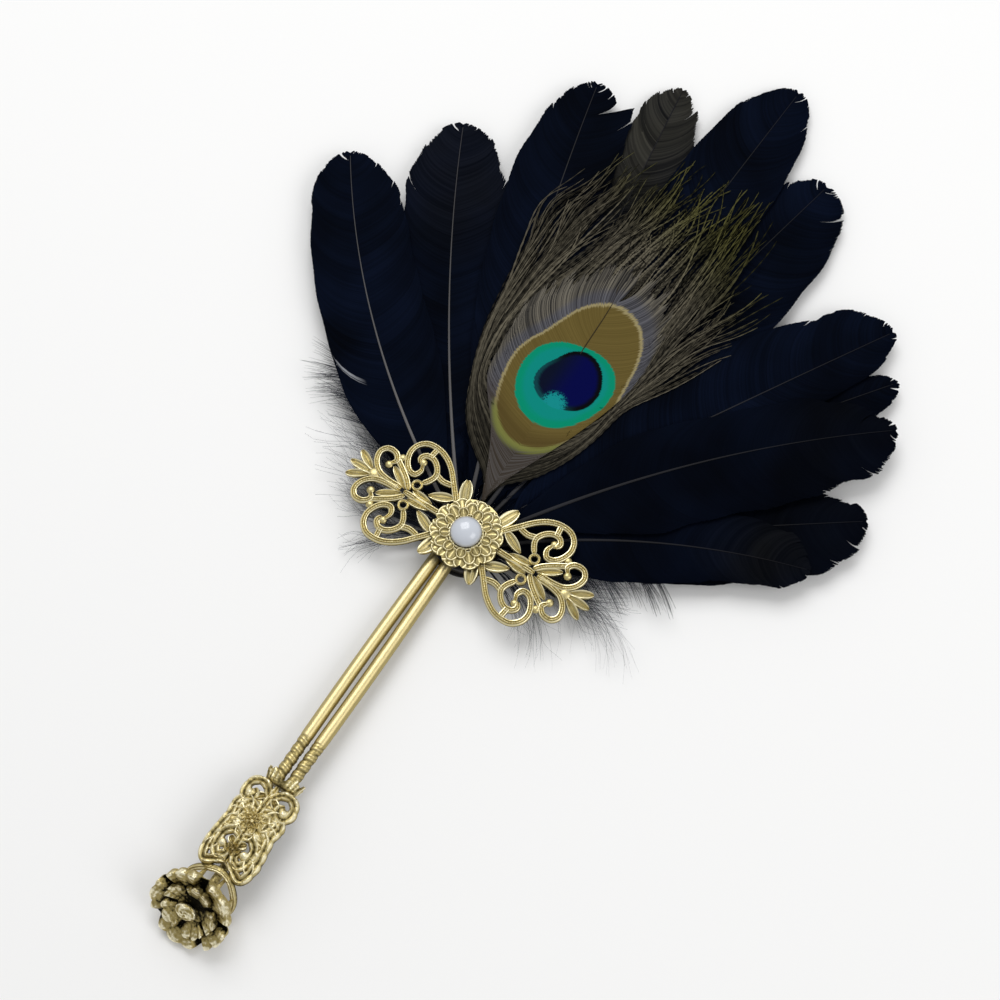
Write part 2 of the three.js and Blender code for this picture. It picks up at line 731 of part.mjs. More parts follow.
const gripAxisShares = [[0, 0], [0, 0.5], [0, 1]];
const gripRose = { placeShare: 0.42, radiusShare: 0.44, petals: 6 };
const gripBud = { placeShare: 0.74, radiusShare: 0.25, petals: 5 };
const gripCrownShares = [0.4, 0.8, 1, 1, 0.7, 0.1];

function gripRise(x, y) {
  const along = Math.min(0.999, Math.max(0, -y / gripLength)) * (gripCrownShares.length - 1);
  const cell = Math.floor(along);
  const share = mix(gripCrownShares[cell], gripCrownShares[cell + 1], along - cell);
  return gripCrown * share * Math.sqrt(Math.max(0, 1 - (x / (gripHalfWidth * 1.15)) ** 2));
}

function gripFlower({ placeShare, radiusShare, petals }) {
  const disc = carvedDisc(gripHalfWidth * radiusShare, gripThickness * 1.25, petals * 4, 3,
    (turn) => mix(0.8, 1, petalWave(turn, petals)),
    (share, turn) => (share < 0.4 ? 1 : mix(0.5, 1, petalWave(turn, petals)) * (1.2 - share / 2)));
  return disc.translate(0, -placeShare * gripLength, 0);
}

function gripHalf() {
  const line = (shares, steps) => wire(gripPoints(shares), gripWire, gripThickness, steps);
  const leaves = gripLeaves.map(({ fromShares, toShares, widthShare }) => {
    const [from, to] = gripPoints([fromShares, toShares]);
    return leaf(from, to, gripHalfWidth * widthShare, gripThickness);
  });
  return [line(earScrollShares, 14), line(railShares, 14), line(heartScrollShares, 10),
    line(crossBandShares, 3), ...leaves];
}

const cupCusp = 0.14;

function pommelPlane() {
  const size = pommelDistance;
  const box = new THREE.BoxGeometry(size, size, size);
  return box.translate(0, 0, size / 2 - cupFloorThickness - fitGap * 2);
}

// The room that the pommel's cup takes, with a gap round it
function cupRoom() {
  const depth = cupDepth + cupWire * 1.2 + fitGap;
  return discAt(-depth, cupRimRadius * (1 + cupCusp) + cupWire * 0.6 + fitGap, depth);
}

// A round neck that leaves the grip's middle bar and sinks to the cup's floor
function gripTang() {
  const sides = 10;
  const sunk = -gripCrown * 0.35;
  const top = gripLength * 0.72;
  const stations = [[top, gripRise(0, -top)], [gripLength * 0.93, sunk],
    [pommelDistance + gripTop + overrun, sunk]];
  return loft(stations.map(([down, height]) => Array.from({ length: sides }, (_, side) => {
    const turn = (side / sides) * Math.PI * 2;
    return new THREE.Vector3(tangRadius * Math.cos(turn), gripTop - down,
      height + tangRadius * Math.sin(turn));
  })));
}

function openworkGrip(pommelMatrix) {
  const half = geometryOf(join(gripHalf()));
  const axis = wire(gripPoints(gripAxisShares), gripWire, gripThickness, 6);
  const flowers = [gripRose, gripBud].map(gripFlower);
  const flat = geometryOf(join([half, mirrored(half, -1, 1), axis, ...flowers]));
  const bowed = bent(flat, gripRise).translate(0, gripTop, 0);
  const rooms = [cupRoom(), pommelPlane()];
  const [cup, plane] = rooms.map((room) => solid(room.applyMatrix4(pommelMatrix)));
  return geometryOf(solid(bowed).subtract(cup).add(solid(gripTang())).subtract(plane));
}

// Pommel: its group's own +Z is the way that the flower faces
const pommel = new THREE.Group();
const faceTilt = radians(pommelLean) - handlePitch;
pommel.position.set(pommelOffset, -pommelDistance, 0);
pommel.rotation.x = Math.PI / 2 - faceTilt;
handle.add(pommel);
pommel.updateMatrix();

part('grip_openwork', openworkGrip(pommel.matrix), antiqueGold, handle);

// Ruffled flower: two rows of five petals with wavy edges round a sunk middle
const rosettePetals = 5;

function rosetteHeight(share, turn) {
  const outer = petalWave(turn, rosettePetals);
  const inner = petalWave(turn + Math.PI / rosettePetals, rosettePetals);
  const ruffle = 0.08 * Math.cos(turn * rosettePetals * 4) * share;
  if (share < 0.45) {
    return 0.3;
  }
  return (share < 0.75 ? mix(0.32, 0.8, inner) : mix(0.4, 0.92, outer)) + ruffle;
}

function rosetteRim(turn) {
  const petal = petalWave(turn + Math.PI / 2, rosettePetals) ** 0.5;
  return mix(0.91, 0.98, petal) + 0.02 * Math.cos(turn * rosettePetals * 4);
}

part('pommel_rosette', carvedDisc(rosetteRadius, rosetteThickness, 60, 7, rosetteRim,
  rosetteHeight), antiqueGold, pommel);

const medallion = part('pommel_medallion', carvedDisc(medallionLength / 2, medallionHeight, 20, 4,
  () => 1, (share) => Math.sqrt(1 - share * share) * 0.8 + 0.2), antiqueGold, pommel);
medallion.scale.y = medallionWidth / medallionLength;
const medallionBottom = rosetteThickness * 0.3 + fitGap;
medallion.position.set(-medallionLength * 0.14, -medallionLength * 0.2, medallionBottom);

// Openwork cup: a floor behind the flower, leaf ribs, and a lotus rim drawn up to a point
const ribCount = 8;

function cupRimPoint(turn) {
  const cusp = Math.max(0, Math.sin(turn + 0.2)) ** 8;
  const reach = cupRimRadius * (1 + cupCusp * cusp);
  return new THREE.Vector3(reach * Math.cos(turn), reach * Math.sin(turn), 0);
}

function cupRib(order) {
  const turn = ((order + 0.5) / ribCount) * Math.PI * 2;
  const floor = -fitGap - cupFloorThickness;
  const reaches = [cupFloorRadius * 0.8, cupRimRadius * 0.72, cupRimRadius * 0.98, cupRimRadius];
  const heights = [floor, floor - cupDepth * 0.1, -cupDepth * 0.55, -cupDepth];
  const points = reaches.map((reach, step) => new THREE.Vector3(
    reach * Math.cos(turn), reach * Math.sin(turn), heights[step] + fitGap));
  const path = new THREE.CatmullRomCurve3(points);
  const half = cupWire / 2;
  const corners = [[-half, -half], [half, -half], [half, half], [-half, half]];
  const section = new THREE.Shape(corners.map(([x, y]) => new THREE.Vector2(x, y)));
  return new THREE.ExtrudeGeometry(section, { steps: 7, extrudePath: path, bevelEnabled: false });
}

function pommelCup() {
  const turns = Array.from({ length: 24 }, (_, step) => (step / 24) * Math.PI * 2);
  const rim = wire(turns.map(cupRimPoint), cupWire * 1.2, cupWire, 40, true);
  rim.translate(0, 0, -cupDepth - cupWire * 0.2);
  const floor = discAt(-fitGap - cupFloorThickness, cupFloorRadius, cupFloorThickness, 20);
  const ribs = Array.from({ length: ribCount }, (_, order) => cupRib(order));
  return geometryOf(join([rim, floor, ...ribs]));
}

part('pommel_cup', pommelCup(), antiqueGold, pommel);

export default fan;
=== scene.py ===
import bpy
import numpy as np
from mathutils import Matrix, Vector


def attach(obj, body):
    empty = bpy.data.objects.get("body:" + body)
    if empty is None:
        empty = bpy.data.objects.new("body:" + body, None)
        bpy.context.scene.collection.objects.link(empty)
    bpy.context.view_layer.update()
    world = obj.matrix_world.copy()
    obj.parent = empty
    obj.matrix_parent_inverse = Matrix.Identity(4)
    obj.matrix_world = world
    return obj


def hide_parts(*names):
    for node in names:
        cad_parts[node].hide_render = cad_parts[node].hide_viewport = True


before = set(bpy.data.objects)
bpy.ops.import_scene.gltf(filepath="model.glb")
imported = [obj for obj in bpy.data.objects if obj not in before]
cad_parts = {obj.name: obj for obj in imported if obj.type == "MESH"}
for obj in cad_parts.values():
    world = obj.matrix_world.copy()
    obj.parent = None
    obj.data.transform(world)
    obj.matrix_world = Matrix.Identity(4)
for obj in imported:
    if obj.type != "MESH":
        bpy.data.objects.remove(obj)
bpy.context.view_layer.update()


# Back felt pad. A punched disc of black wool felt that closes the back of the hub. It lies
# flat on the glue, and its cut edge is a little rounded and fuzzy.
pad_radius = 0.010
pad_thickness = 0.001
felt_nap = 0.0002


def skin(points, closed=False, **values):
    """Closed skins over points, an array of skins x rows x ring points x 3.

    Quads join each row to the next, and a flat cap closes the first and the last row, or the
    last row joins the first where closed is set. The values are numbers at each point.
    """
    count, rows, ring = points.shape[:3]
    index = np.arange(count * rows * ring).reshape(count, rows, ring)
    following = np.roll(index, -1, 1) if closed else index[:, 1:]
    low = index if closed else index[:, :-1]
    quads = np.stack([low, np.roll(low, -1, 2), np.roll(following, -1, 2), following], -1)
    quads = quads.reshape(-1, 4)
    faces = [quads] if closed else [quads, index[:, 0, ::-1], index[:, -1]]
    flat = points.reshape(-1, 3)
    a, b, c, d = (flat[quads[:, corner]] for corner in range(4))
    volume = np.sum(np.cross(a, b) * c + np.cross(a, c) * d)
    if volume < 0:
        faces = [face[:, ::-1] for face in faces]
    shape = (count, rows, ring)
    known = {name: np.broadcast_to(value, shape).ravel() for name, value in values.items()}
    return flat, faces, known


def placed(name, data):
    """A new object in the scene that holds the data."""
    made = bpy.data.objects.new(name, data)
    bpy.context.scene.collection.objects.link(made)
    return made


def piece(name, skins, look, sharp=None):
    """One object made of closed skins, with each named value as an attribute of its points."""
    points = np.concatenate([flat for flat, _, _ in skins])
    starts = np.cumsum([0] + [len(flat) for flat, _, _ in skins])
    groups = [face + start for start, (_, faces, _) in zip(starts, skins) for face in faces]
    sizes = np.concatenate([np.full(len(group), group.shape[1]) for group in groups])
    corners = np.concatenate([group.ravel() for group in groups])
    mesh = bpy.data.meshes.new(name)
    mesh.vertices.add(len(points))
    mesh.vertices.foreach_set("co", points.astype(np.float32).ravel())
    mesh.loops.add(len(corners))
    mesh.loops.foreach_set("vertex_index", corners.astype(np.int32))
    mesh.polygons.add(len(sizes))
    mesh.polygons.foreach_set("loop_start", (np.cumsum(sizes) - sizes).astype(np.int32))
    mesh.update(calc_edges=True)
    mesh.polygons.foreach_set("use_smooth", np.ones(len(sizes), bool))
    for value in sorted({key for _, _, known in skins for key in known}):
        numbers = [known.get(value, np.zeros(len(flat))) for flat, _, known in skins]
        attribute = mesh.attributes.new(value, "FLOAT", "POINT")
        attribute.data.foreach_set("value", np.concatenate(numbers).astype(np.float32))
    if sharp is not None:
        mesh.set_sharp_from_angle(angle=np.radians(sharp))
    mesh.materials.append(look.material)
    return placed(name, mesh)


def angles(count):
    """Evenly spaced angles round a circle, from +X anticlockwise."""
    return np.arange(count) * 2 * np.pi / count


def circle(count):
    """Points of the unit circle at evenly spaced angles."""
    return np.stack([np.cos(angles(count)), np.sin(angles(count))], -1)


def lifted(flat, height=0.0):
    """Points of the plane, lifted to a height that may differ from point to point."""
    return np.concatenate([flat, np.broadcast_to(height, flat.shape[:-1])[..., None]], -1)


# A ring that closes on its axis keeps this radius, so that no face is empty
axis_radius = 0.00001


def disc(radii, heights, count):
    """A turned solid about Z: one ring for each radius and height, from the back's middle on."""
    flat = np.maximum(radii, axis_radius)[:, None, None] * circle(count)
    return lifted(flat, np.asarray(heights)[:, None])[None]


class Wire:
    """A shader socket that takes part in ordinary arithmetic: each sign adds a Math node."""

    def __init__(self, look, socket):
        self.look = look
        self.socket = socket

    def math(self, operation, *values):
        return self.look.node("ShaderNodeMath", {"operation": operation}, enumerate(values))

    def __add__(self, other):
        return self.math("ADD", self, other)

    def __sub__(self, other):
        return self.math("SUBTRACT", self, other)

    def __rsub__(self, other):
        return self.math("SUBTRACT", other, self)

    def __mul__(self, other):
        return self.math("MULTIPLY", self, other)

    def __truediv__(self, other):
        return self.math("DIVIDE", self, other)

    def __pow__(self, other):
        return self.math("POWER", self, other)

    __radd__ = __add__
    __rmul__ = __mul__

    def sine(self):
        return self.math("SINE", self)

    def cosine(self):
        return self.math("COSINE", self)

    def step(self, low, high):
        """A smooth step from 0 at low to 1 at high."""
        settings = {"interpolation_type": "SMOOTHSTEP"}
        return self.look.node("ShaderNodeMapRange", settings, {0: self, 1: low, 2: high})


class Look:
    """A material in the making, round its Principled shader."""

    def __init__(self, name, **constants):
        self.material = bpy.data.materials.new(name)
        self.material.use_nodes = True
        self.nodes = self.material.node_tree.nodes
        self.shader = self.nodes["Principled BSDF"]
        for socket, value in constants.items():
            self.put(self.shader.inputs[socket.replace("_", " ")], value)

    def put(self, socket, value):
        if isinstance(value, Wire):
            self.material.node_tree.links.new(value.socket, socket)
        else:
            socket.default_value = value

    def set(self, socket, value):
        self.put(self.shader.inputs[socket], value)

    def node(self, kind, settings, values, output=0):
        """Adds a node: first its settings, then a value or a link for each named socket."""
        node = self.nodes.new(kind)
        for name, value in settings.items():
            setattr(node, name, value)
        for name, value in dict(values).items():
            self.put(node.inputs[name], value)
        return Wire(self, node.outputs[output])

    def blend(self, share, low, high):
        return self.node("ShaderNodeMix", {"data_type": "RGBA"}, {0: share, 6: low, 7: high}, 2)

    def value(self, name):
        return self.node("ShaderNodeAttribute", {"attribute_name": name}, {}, "Fac")

    def place(self):
        return self.node("ShaderNodeTexCoord", {}, {}, "Object")

    def noise(self, scale, detail=3.0):
        values = {"Vector": self.place(), "Scale": scale, "Detail": detail}
        return self.node("ShaderNodeTexNoise", {}, values)

    def bump(self, height, distance, strength=1.0):
        values = {"Height": height, "Distance": distance, "Strength": strength}
        self.set("Normal", self.node("ShaderNodeBump", {}, values))


def tint(red, green, blue):
    """A colour given by screen values from 0 to 255, as the shader's linear values."""
    screen = np.array([red, green, blue]) / 255
    linear = np.where(screen < 0.04045, screen / 12.92, ((screen + 0.055) / 1.055) ** 2.4)
    return (*linear.tolist(), 1.0)


felt = Look("wool_felt", Roughness=0.95)
felt_fibres = felt.noise(4000.0, 4.0)
felt.set("Base Color", felt.blend(felt_fibres, tint(8, 8, 9), tint(30, 29, 30)))
felt.bump(felt_fibres, felt_nap)


def felt_pad(name, bottom):
    """A flat disc, punched from felt, whose rim is rounded by a sixth of its thickness."""
    round_off = pad_thickness / 6
    top = bottom + pad_thickness
    radii = [0, pad_radius * 0.5, pad_radius - round_off, pad_radius, pad_radius,
             pad_radius - round_off, pad_radius * 0.5, 0]
    heights = [bottom, bottom, bottom, bottom + round_off, top - round_off, top, top, top]
    return piece(name, [skin(disc(radii, heights, 96))], felt, sharp=60)


back_pad = felt_pad("felt_disc_back", 0.0)
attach(back_pad, "root")
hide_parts("back_felt_pad")


# Hub glue. Hot glue, set round the quills and the rods between the two pads. The solid's
# shape is right as it is, and only the dark, glossy look is made here.
glue_ripple = 0.0004
glue = Look("set_glue_look", Roughness=0.28, IOR=1.5)
glue.set("Base Color", glue.blend(glue.noise(300.0), tint(14, 12, 9), tint(40, 33, 24)))
glue.bump(glue.noise(260.0, 2.0), glue_ripple)
hub_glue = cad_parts["hub_glue"]
hub_glue.data.materials.clear()
hub_glue.data.materials.append(glue.material)


# Stem rods. Two rods of gilt brass stand side by side in the glue, bow apart a little, and
# end in the collar. The last fifteen millimetres are rolled into beads and a fine twist.
rod_radius = 0.0016
# The drawn rod is this much thicker than the plain one that its sockets and gaps are set for
rod_stoutness = 1.15
rod_axis_height = 0.0036
rod_top = 0.0005
rod_top_gap = 0.00035
rod_foot_gap = 0.0008
rod_bow = 0.0009
beaded_length = 0.015
bead_rise = 0.00022
bead_count = 5
twist_rate = 84
grain_depth = 0.00006
cast_lump_depth = 0.0005
handle_offset = -0.0025
handle_yaw = np.radians(1.33)
collar_top = 0.084
collar_length = 0.0042
collar_floor = 0.0009
fit_gap = 0.0003
grip_length = 0.028
grip_top = -(collar_top + collar_length + fit_gap)
pommel_neck = 0.0108
pommel_lean = np.radians(42)
rosette_radius = 0.0121
pommel_distance = grip_length - grip_top + pommel_neck
pommel_height = rosette_radius * np.cos(pommel_lean)
handle_pitch = np.arcsin((pommel_height - rod_axis_height) / pommel_distance)


def turned(points, axis, angle):
    """The points turned about one axis, numbered from 0 for X, by an angle in radians."""
    first, second = (axis + 1) % 3, (axis + 2) % 3
    moved = points.copy()
    moved[..., first] = points[..., first] * np.cos(angle) - points[..., second] * np.sin(angle)
    moved[..., second] = points[..., first] * np.sin(angle) + points[..., second] * np.cos(angle)
    return moved


def on_handle(points):
    """Points of the handle's own frame, whose -Y runs from the hub to the pommel, on the fan."""
    level = turned(turned(points, 0, -handle_pitch), 2, handle_yaw)
    return level + [handle_offset, 0.0, rod_axis_height]


def tubes(centre, across, up, section):
    """Points of tubes round lines, an array of lines x stations x 3.

    A point is its line's point, plus its share of across, plus its share of up. The section
    lists these two shares anticlockwise, and all three may differ from station to station.
    """
    across, up = np.broadcast_to(across, centre.shape), np.broadcast_to(up, centre.shape)
    handed = np.sum(np.cross(across, up) * np.gradient(centre, axis=1), -1).mean(1)
    across = across * np.where(handed < 0, -1.0, 1.0)[:, None, None]
    section = np.asarray(section, float)
    return (centre[:, :, None] + across[:, :, None] * section[..., 0, None]
            + up[:, :, None] * section[..., 1, None])


def metal(name, recess, body, raised, rough, cast=0.0):
    """A gilt metal, dark in its recesses and bright where the value ridge is high: worn bright on
    raised relief, a painted highlight on the rods' upper sides and a painted shade on one side of
    the pommel flower's middle. Its grain is fine where it is stamped or drawn, and lumpy by the
    value of cast."""
    look = Look(name, Metallic=1.0)
    ridge = look.value("ridge")
    grain = look.noise(2600.0, 3.0)
    if cast:
        grain = grain * (1.0 - cast) + (look.noise(1100.0, 2.0) * 2.2 - 0.6) * cast
    height = ridge + (grain - 0.5) * (0.22 + 0.5 * cast)
    low = look.blend(height.step(0.12, 0.5), recess, body)
    look.set("Base Color", look.blend(height.step(0.55, 0.95), low, raised))
    look.set("Roughness", rough + (grain - 0.5) * 0.2 + (1.0 - height.step(0.1, 0.6)) * 0.18)
    look.bump(grain, grain_depth + cast_lump_depth * cast, 0.8)
    return look


gilt = metal("pale_gilt", tint(98, 88, 52), tint(200, 186, 134), tint(240, 231, 192), 0.34)
antique = metal("antique_gilt", tint(86, 76, 44), tint(194, 178, 122), tint(248, 238, 198), 0.37,
                0.6)
drawn = metal("drawn_gilt", tint(86, 76, 42), tint(178, 162, 108), tint(220, 204, 152), 0.4)


def stem_rod(side):
    """A round rod, bowed outward by half a sine wave, with a twofold twist over a beaded foot."""
    along = np.concatenate([np.linspace(0, 0.82, 60), np.linspace(0.825, 1, 110)])
    bottom = -(collar_top + collar_length - collar_floor - fit_gap)
    opening = rod_top_gap + (rod_foot_gap - rod_top_gap) * along + rod_bow * np.sin(np.pi * along)
    y = rod_top + (bottom - rod_top) * along
    line = lifted(np.stack([side * (rod_radius + opening / 2), y], -1))[None]
    foot = np.minimum(1, (y - bottom) / beaded_length)[:, None]
    beaded = np.clip((1 - foot) * 20, 0, 1)
    hollow = 1 - np.abs(np.sin(foot * np.pi * bead_count))
    ring = circle(28)
    thread = 0.22 * (1 - np.sin(2 * angles(28) + foot * twist_rate * side))
    swell = 1 - bead_rise / rod_radius * beaded * (hollow + thread)
    section = ring * (rod_radius * rod_stoutness * swell)[..., None]
    points = tubes(line, [1, 0, 0], [0, 0, 1], section)
    # Painted highlight: the rod's upper side gets a higher ridge value than its underside, so it
    # is coloured brighter.
    facing = 0.42 + 0.5 * np.maximum(0, ring[:, 1]) ** 2
    worn = facing * (1 - beaded * (0.3 * hollow + thread))
    return skin(on_handle(points), ridge=worn[None])


for side, word in ((-1, "left"), (1, "right")):
    rod = piece(f"gilt_rod_{word}", [stem_rod(side)], drawn, sharp=70)
    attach(rod, "root")
    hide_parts(f"stem_rod_{word}")


# Leaf collar. An oval cup of six upright leaves, each with ribs, cast in antique gold metal.
# The feet of both rods are soldered into it, and its floor is closed.
collar_half_width = 0.0049
collar_half_depth = 0.0029
collar_wall = 0.0005
collar_leaves = 6


def leaf_collar():
    """Rings up the outside, over the leaf tips and down the inside to the floor."""
    sides = 144
    leaf = 2 * np.abs(np.arange(sides) * collar_leaves / sides % 1 - 0.5)
    rim = collar_length * (0.42 + 0.58 * leaf ** 0.8)
    rib = np.exp(-((1 - leaf) / 0.16) ** 2) + 0.7 * np.exp(-((leaf - 0.42) / 0.12) ** 2)
    outside = [(0, axis_radius / collar_half_width, 0), (0, 0.75, 0), (0.04, 0.82, 0),
               (0.14, 0.95, 0.2), (0.2, 0.98, 0.5), (0.4, 1, 1), (0.6, 1.02, 1), (0.8, 1.07, 1),
               (0.93, 1.12, 1), (1, 1.14, 0.6)]
    inside = [(1, 1.14), (0.9, 1.1), (0.7, 1), (0.45, 1), (0.3, 1), (0.3, 0)]
    full = np.sign(circle(sides)) * np.abs(circle(sides)) ** 0.7
    points, worn = [], []
    for share, flare, relief in outside:
        swell = 1 + 0.07 * relief * rib
        height = rim * share if share > 0.2 else np.full(sides, collar_length * share)
        flat = full * [collar_half_width, -collar_half_depth] * flare * swell[:, None]
        points.append(np.stack([flat[:, 0], height, flat[:, 1]], -1))
        worn.append(0.25 + 0.75 * relief * rib + 0.3 * share * leaf ** 2)
    for share, flare in inside:
        wide = max(collar_half_width * flare - collar_wall, axis_radius)
        deep = max(collar_half_depth * flare - collar_wall, axis_radius)
        height = rim * share if share > 0.3 else np.full(sides, collar_floor)
        points.append(np.stack([wide * full[:, 0], height, -deep * full[:, 1]], -1))
        worn.append(np.full(sides, 0.05 + 0.5 * (share == 1)))
    base = [0.0, -(collar_top + collar_length), 0.0]
    return skin(on_handle(np.array(points)[None] + base), ridge=np.array(worn)[None])


collar = piece("collar_leaves", [leaf_collar()], antique, sharp=55)
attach(collar, "root")
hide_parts("leaf_collar")


# Openwork grip. Antique gold scrolls, veined leaves, a rose and a bud, cast in one bowed piece
# with two ears at the top. A round neck joins its middle bar to the floor of the pommel's cup.
grip_half_width = 0.0077
grip_wire = 0.0024
grip_scroll_width = grip_wire * 1.18
grip_thickness = 0.0017
grip_crown = 0.0036
neck_radius = 0.0013
neck_end_gap = 0.0022
bead_pitch = 0.0007
lobe_pitch = 0.0034
# Lines of one side as shares of the half width and the length, and how many points each gets
grip_lines = [
    ([[0, 0.15], [0.2, 0.075], [0.42, 0.03], [0.68, 0.03], [0.9, 0.08], [0.95, 0.18],
      [0.8, 0.25], [0.58, 0.225], [0.5, 0.17], [0.64, 0.13]], 110),
    ([[0.82, 0.25], [0.93, 0.33], [0.86, 0.45], [0.92, 0.6], [0.97, 0.75], [0.92, 0.87],
      [0.78, 0.945], [0.55, 0.93], [0.3, 0.885], [0, 0.87]], 130),
    ([[0, 0.6], [0.3, 0.57], [0.62, 0.63], [0.66, 0.77], [0.42, 0.86], [0.18, 0.8],
      [0.3, 0.72]], 90),
    ([[0.12, 0.36], [0.5, 0.33], [0.9, 0.36]], 30),
    ([[0.1, 0.29], [0.42, 0.26], [0.6, 0.34], [0.44, 0.43], [0.3, 0.37]], 50)]
grip_bar_shares = [[0, 0], [0, 0.3], [0, 0.6], [0, 0.88]]
# Leaves from point to point with their width; bosses and blooms with their radius and petals
grip_leaf_shares = [([0.25, 0.45], [0.88, 0.55], 0.55), ([0.3, 0.36], [0.72, 0.22], 0.5),
                    ([0.6, 0.72], [0.95, 0.86], 0.45), ([0.3, 0.5], [0.1, 0.62], 0.3),
                    ([0.62, 0.36], [0.94, 0.47], 0.375), ([0.06, 0.7], [0.34, 0.64], 0.325),
                    ([0.1, 0.12], [0.46, 0.2], 0.325), ([0.1, 0.84], [0.5, 0.92], 0.325)]
grip_boss_shares = [([0.74, 0.185], 0.15), ([0.46, 0.74], 0.17), ([0.8, 0.66], 0.11)]
grip_bloom_shares = [(0.42, 0.5, 6), (0.74, 0.27, 5)]
grip_crown_shares = [0.4, 0.8, 1, 1, 0.7, 0.1]


def curve(points, count):
    """Evenly spaced points on a smooth line through the given ones: cubic spans whose slopes at
    a point are half the chord between the points beside it."""
    points = np.asarray(points, float)
    ends = [2 * points[:1] - points[1:2], points, 2 * points[-1:] - points[-2:-1]]
    padded = np.concatenate(ends)
    place = np.linspace(0, len(points) - 1, 24 * len(points))
    first = np.minimum(place.astype(int), len(points) - 2)
    part = (place - first)[:, None]
    a, b, c, d = (padded[first + step] for step in range(4))
    cubic = part * (3 * b - 3 * c + d - a) / 2
    line = b + part * ((c - a) / 2 + part * ((2 * a - 5 * b + 4 * c - d) / 2 + cubic))
    length = np.linalg.norm(np.diff(line, axis=0), axis=1)
    reached = np.concatenate([[0], np.cumsum(length)])
    at = np.linspace(0, reached[-1], count)
    return np.stack([np.interp(at, reached, line[:, axis]) for axis in range(line.shape[1])], -1)


def unit(ways):
    """The vectors, each brought to a length of one."""
    return ways / np.maximum(np.linalg.norm(ways, axis=-1, keepdims=True), 1e-9)


def sideways(lines):
    """Unit vectors in the plane, to the right of each line's way."""
    return unit(lifted(np.gradient(lines, axis=-2)[..., 1::-1] * [1, -1]))


def mirrored(half):
    """A symmetric profile from its right half. Each row may end in how worn the point is."""
    return np.array(half + [[-across, *rest] for across, *rest in half[-2::-1]])


wire_profile = mirrored([[1, 0, 0], [1, 0.42, 0.3], [0.82, 0.86, 0.9], [0.6, 0.9, 1],
                         [0.36, 0.58, 0.2], [0.18, 0.62, 0.3], [0, 0.66, 0.45]])
leaf_profile = mirrored([[1, 0, 0.2], [1, 0.5, 0.5], [0.86, 0.95, 1], [0.68, 0.92, 0.95],
                         [0.5, 0.5, 0.3], [0.2, 0.46, 0.3], [0, 0.74, 0.9]])
scroll_profile = mirrored([[1, 0, 0.1], [1, 0.4, 0.25], [0.86, 0.82, 0.75], [0.6, 1, 1],
                           [0.3, 0.86, 0.5], [0, 0.66, 0.2]])


def strip(line, half, height, section):
    """A tube on a flat line, whose section is scaled by a half width and a height."""
    line = lifted(line)[None]
    return tubes(line, sideways(line) * half, height * np.array([0, 0, 1]), section)


def tapered(line, low, rate):
    """How far along its line each point lies, and the taper towards both ends."""
    reached = np.cumsum(np.linalg.norm(np.gradient(line, axis=0), axis=1))[:, None]
    end = np.minimum(reached, reached[-1] - reached) / reached[-1]
    return reached, np.minimum(1, low + rate * end)


def wire(line, width, height):
    """A cast wire along a flat line: two rails with a row of beads in the groove between."""
    reached, taper = tapered(line, 0.55, 6)
    across, up, worn = wire_profile.T
    bead = np.abs(np.sin(np.pi * reached / bead_pitch)) * np.exp(-(across / 0.24) ** 2)
    section = np.stack([across * taper, up + 0.26 * bead], -1)
    return strip(line, width / 2, height, section), worn + 0.5 * bead


def scroll(line, width, height):
    """A cast leafy scroll along a flat line: a round bar whose lobes overlap like acanthus."""
    reached, taper = tapered(line, 0.5, 5)
    across, up, worn = scroll_profile.T
    lobe = np.sin(np.pi * (reached / lobe_pitch % 1) ** 0.7)
    section = np.stack([across * taper * (0.85 + 0.15 * lobe), up * (0.84 + 0.16 * lobe)], -1)
    return strip(line, width / 2, height, section), worn * (0.6 + 0.5 * lobe)


def leaf(start, end, width, height):
    """A spoon-shaped leaf from point to point, with a raised edge and a raised middle vein."""
    along = np.linspace(0, 1, 26)[:, None]
    form = np.sin(np.pi * np.clip(along, 0.02, 0.985) ** 1.2) ** 0.48
    points = strip(start + along * (end - start), width / 2 * form,
                   height * (0.62 + 0.38 * form), leaf_profile[:, :2])
    return points, leaf_profile[:, 2]


def bulb(centre, radius, foot, top, stations, sides):
    """A low round boss, which rises from its foot to its top in a quarter circle."""
    rise = np.linspace(0, np.pi / 2, stations)
    heights = [0, *(foot + (top - foot) * np.sin(rise))]
    return disc([0, *(radius * np.cos(rise))], heights, sides) + [*centre, 0]


def backed(flat, height, worn, back_worn):
    """A height over a polar grid as a solid with a level back, and how worn each point is."""
    count = flat.shape[1]
    back = lifted(np.stack([circle(count) * axis_radius, flat[-1]]))
    points = np.concatenate([back, lifted(flat, height)[::-1]])[None]
    return points, np.concatenate([np.full((2, count), back_worn), worn[::-1]])[None]


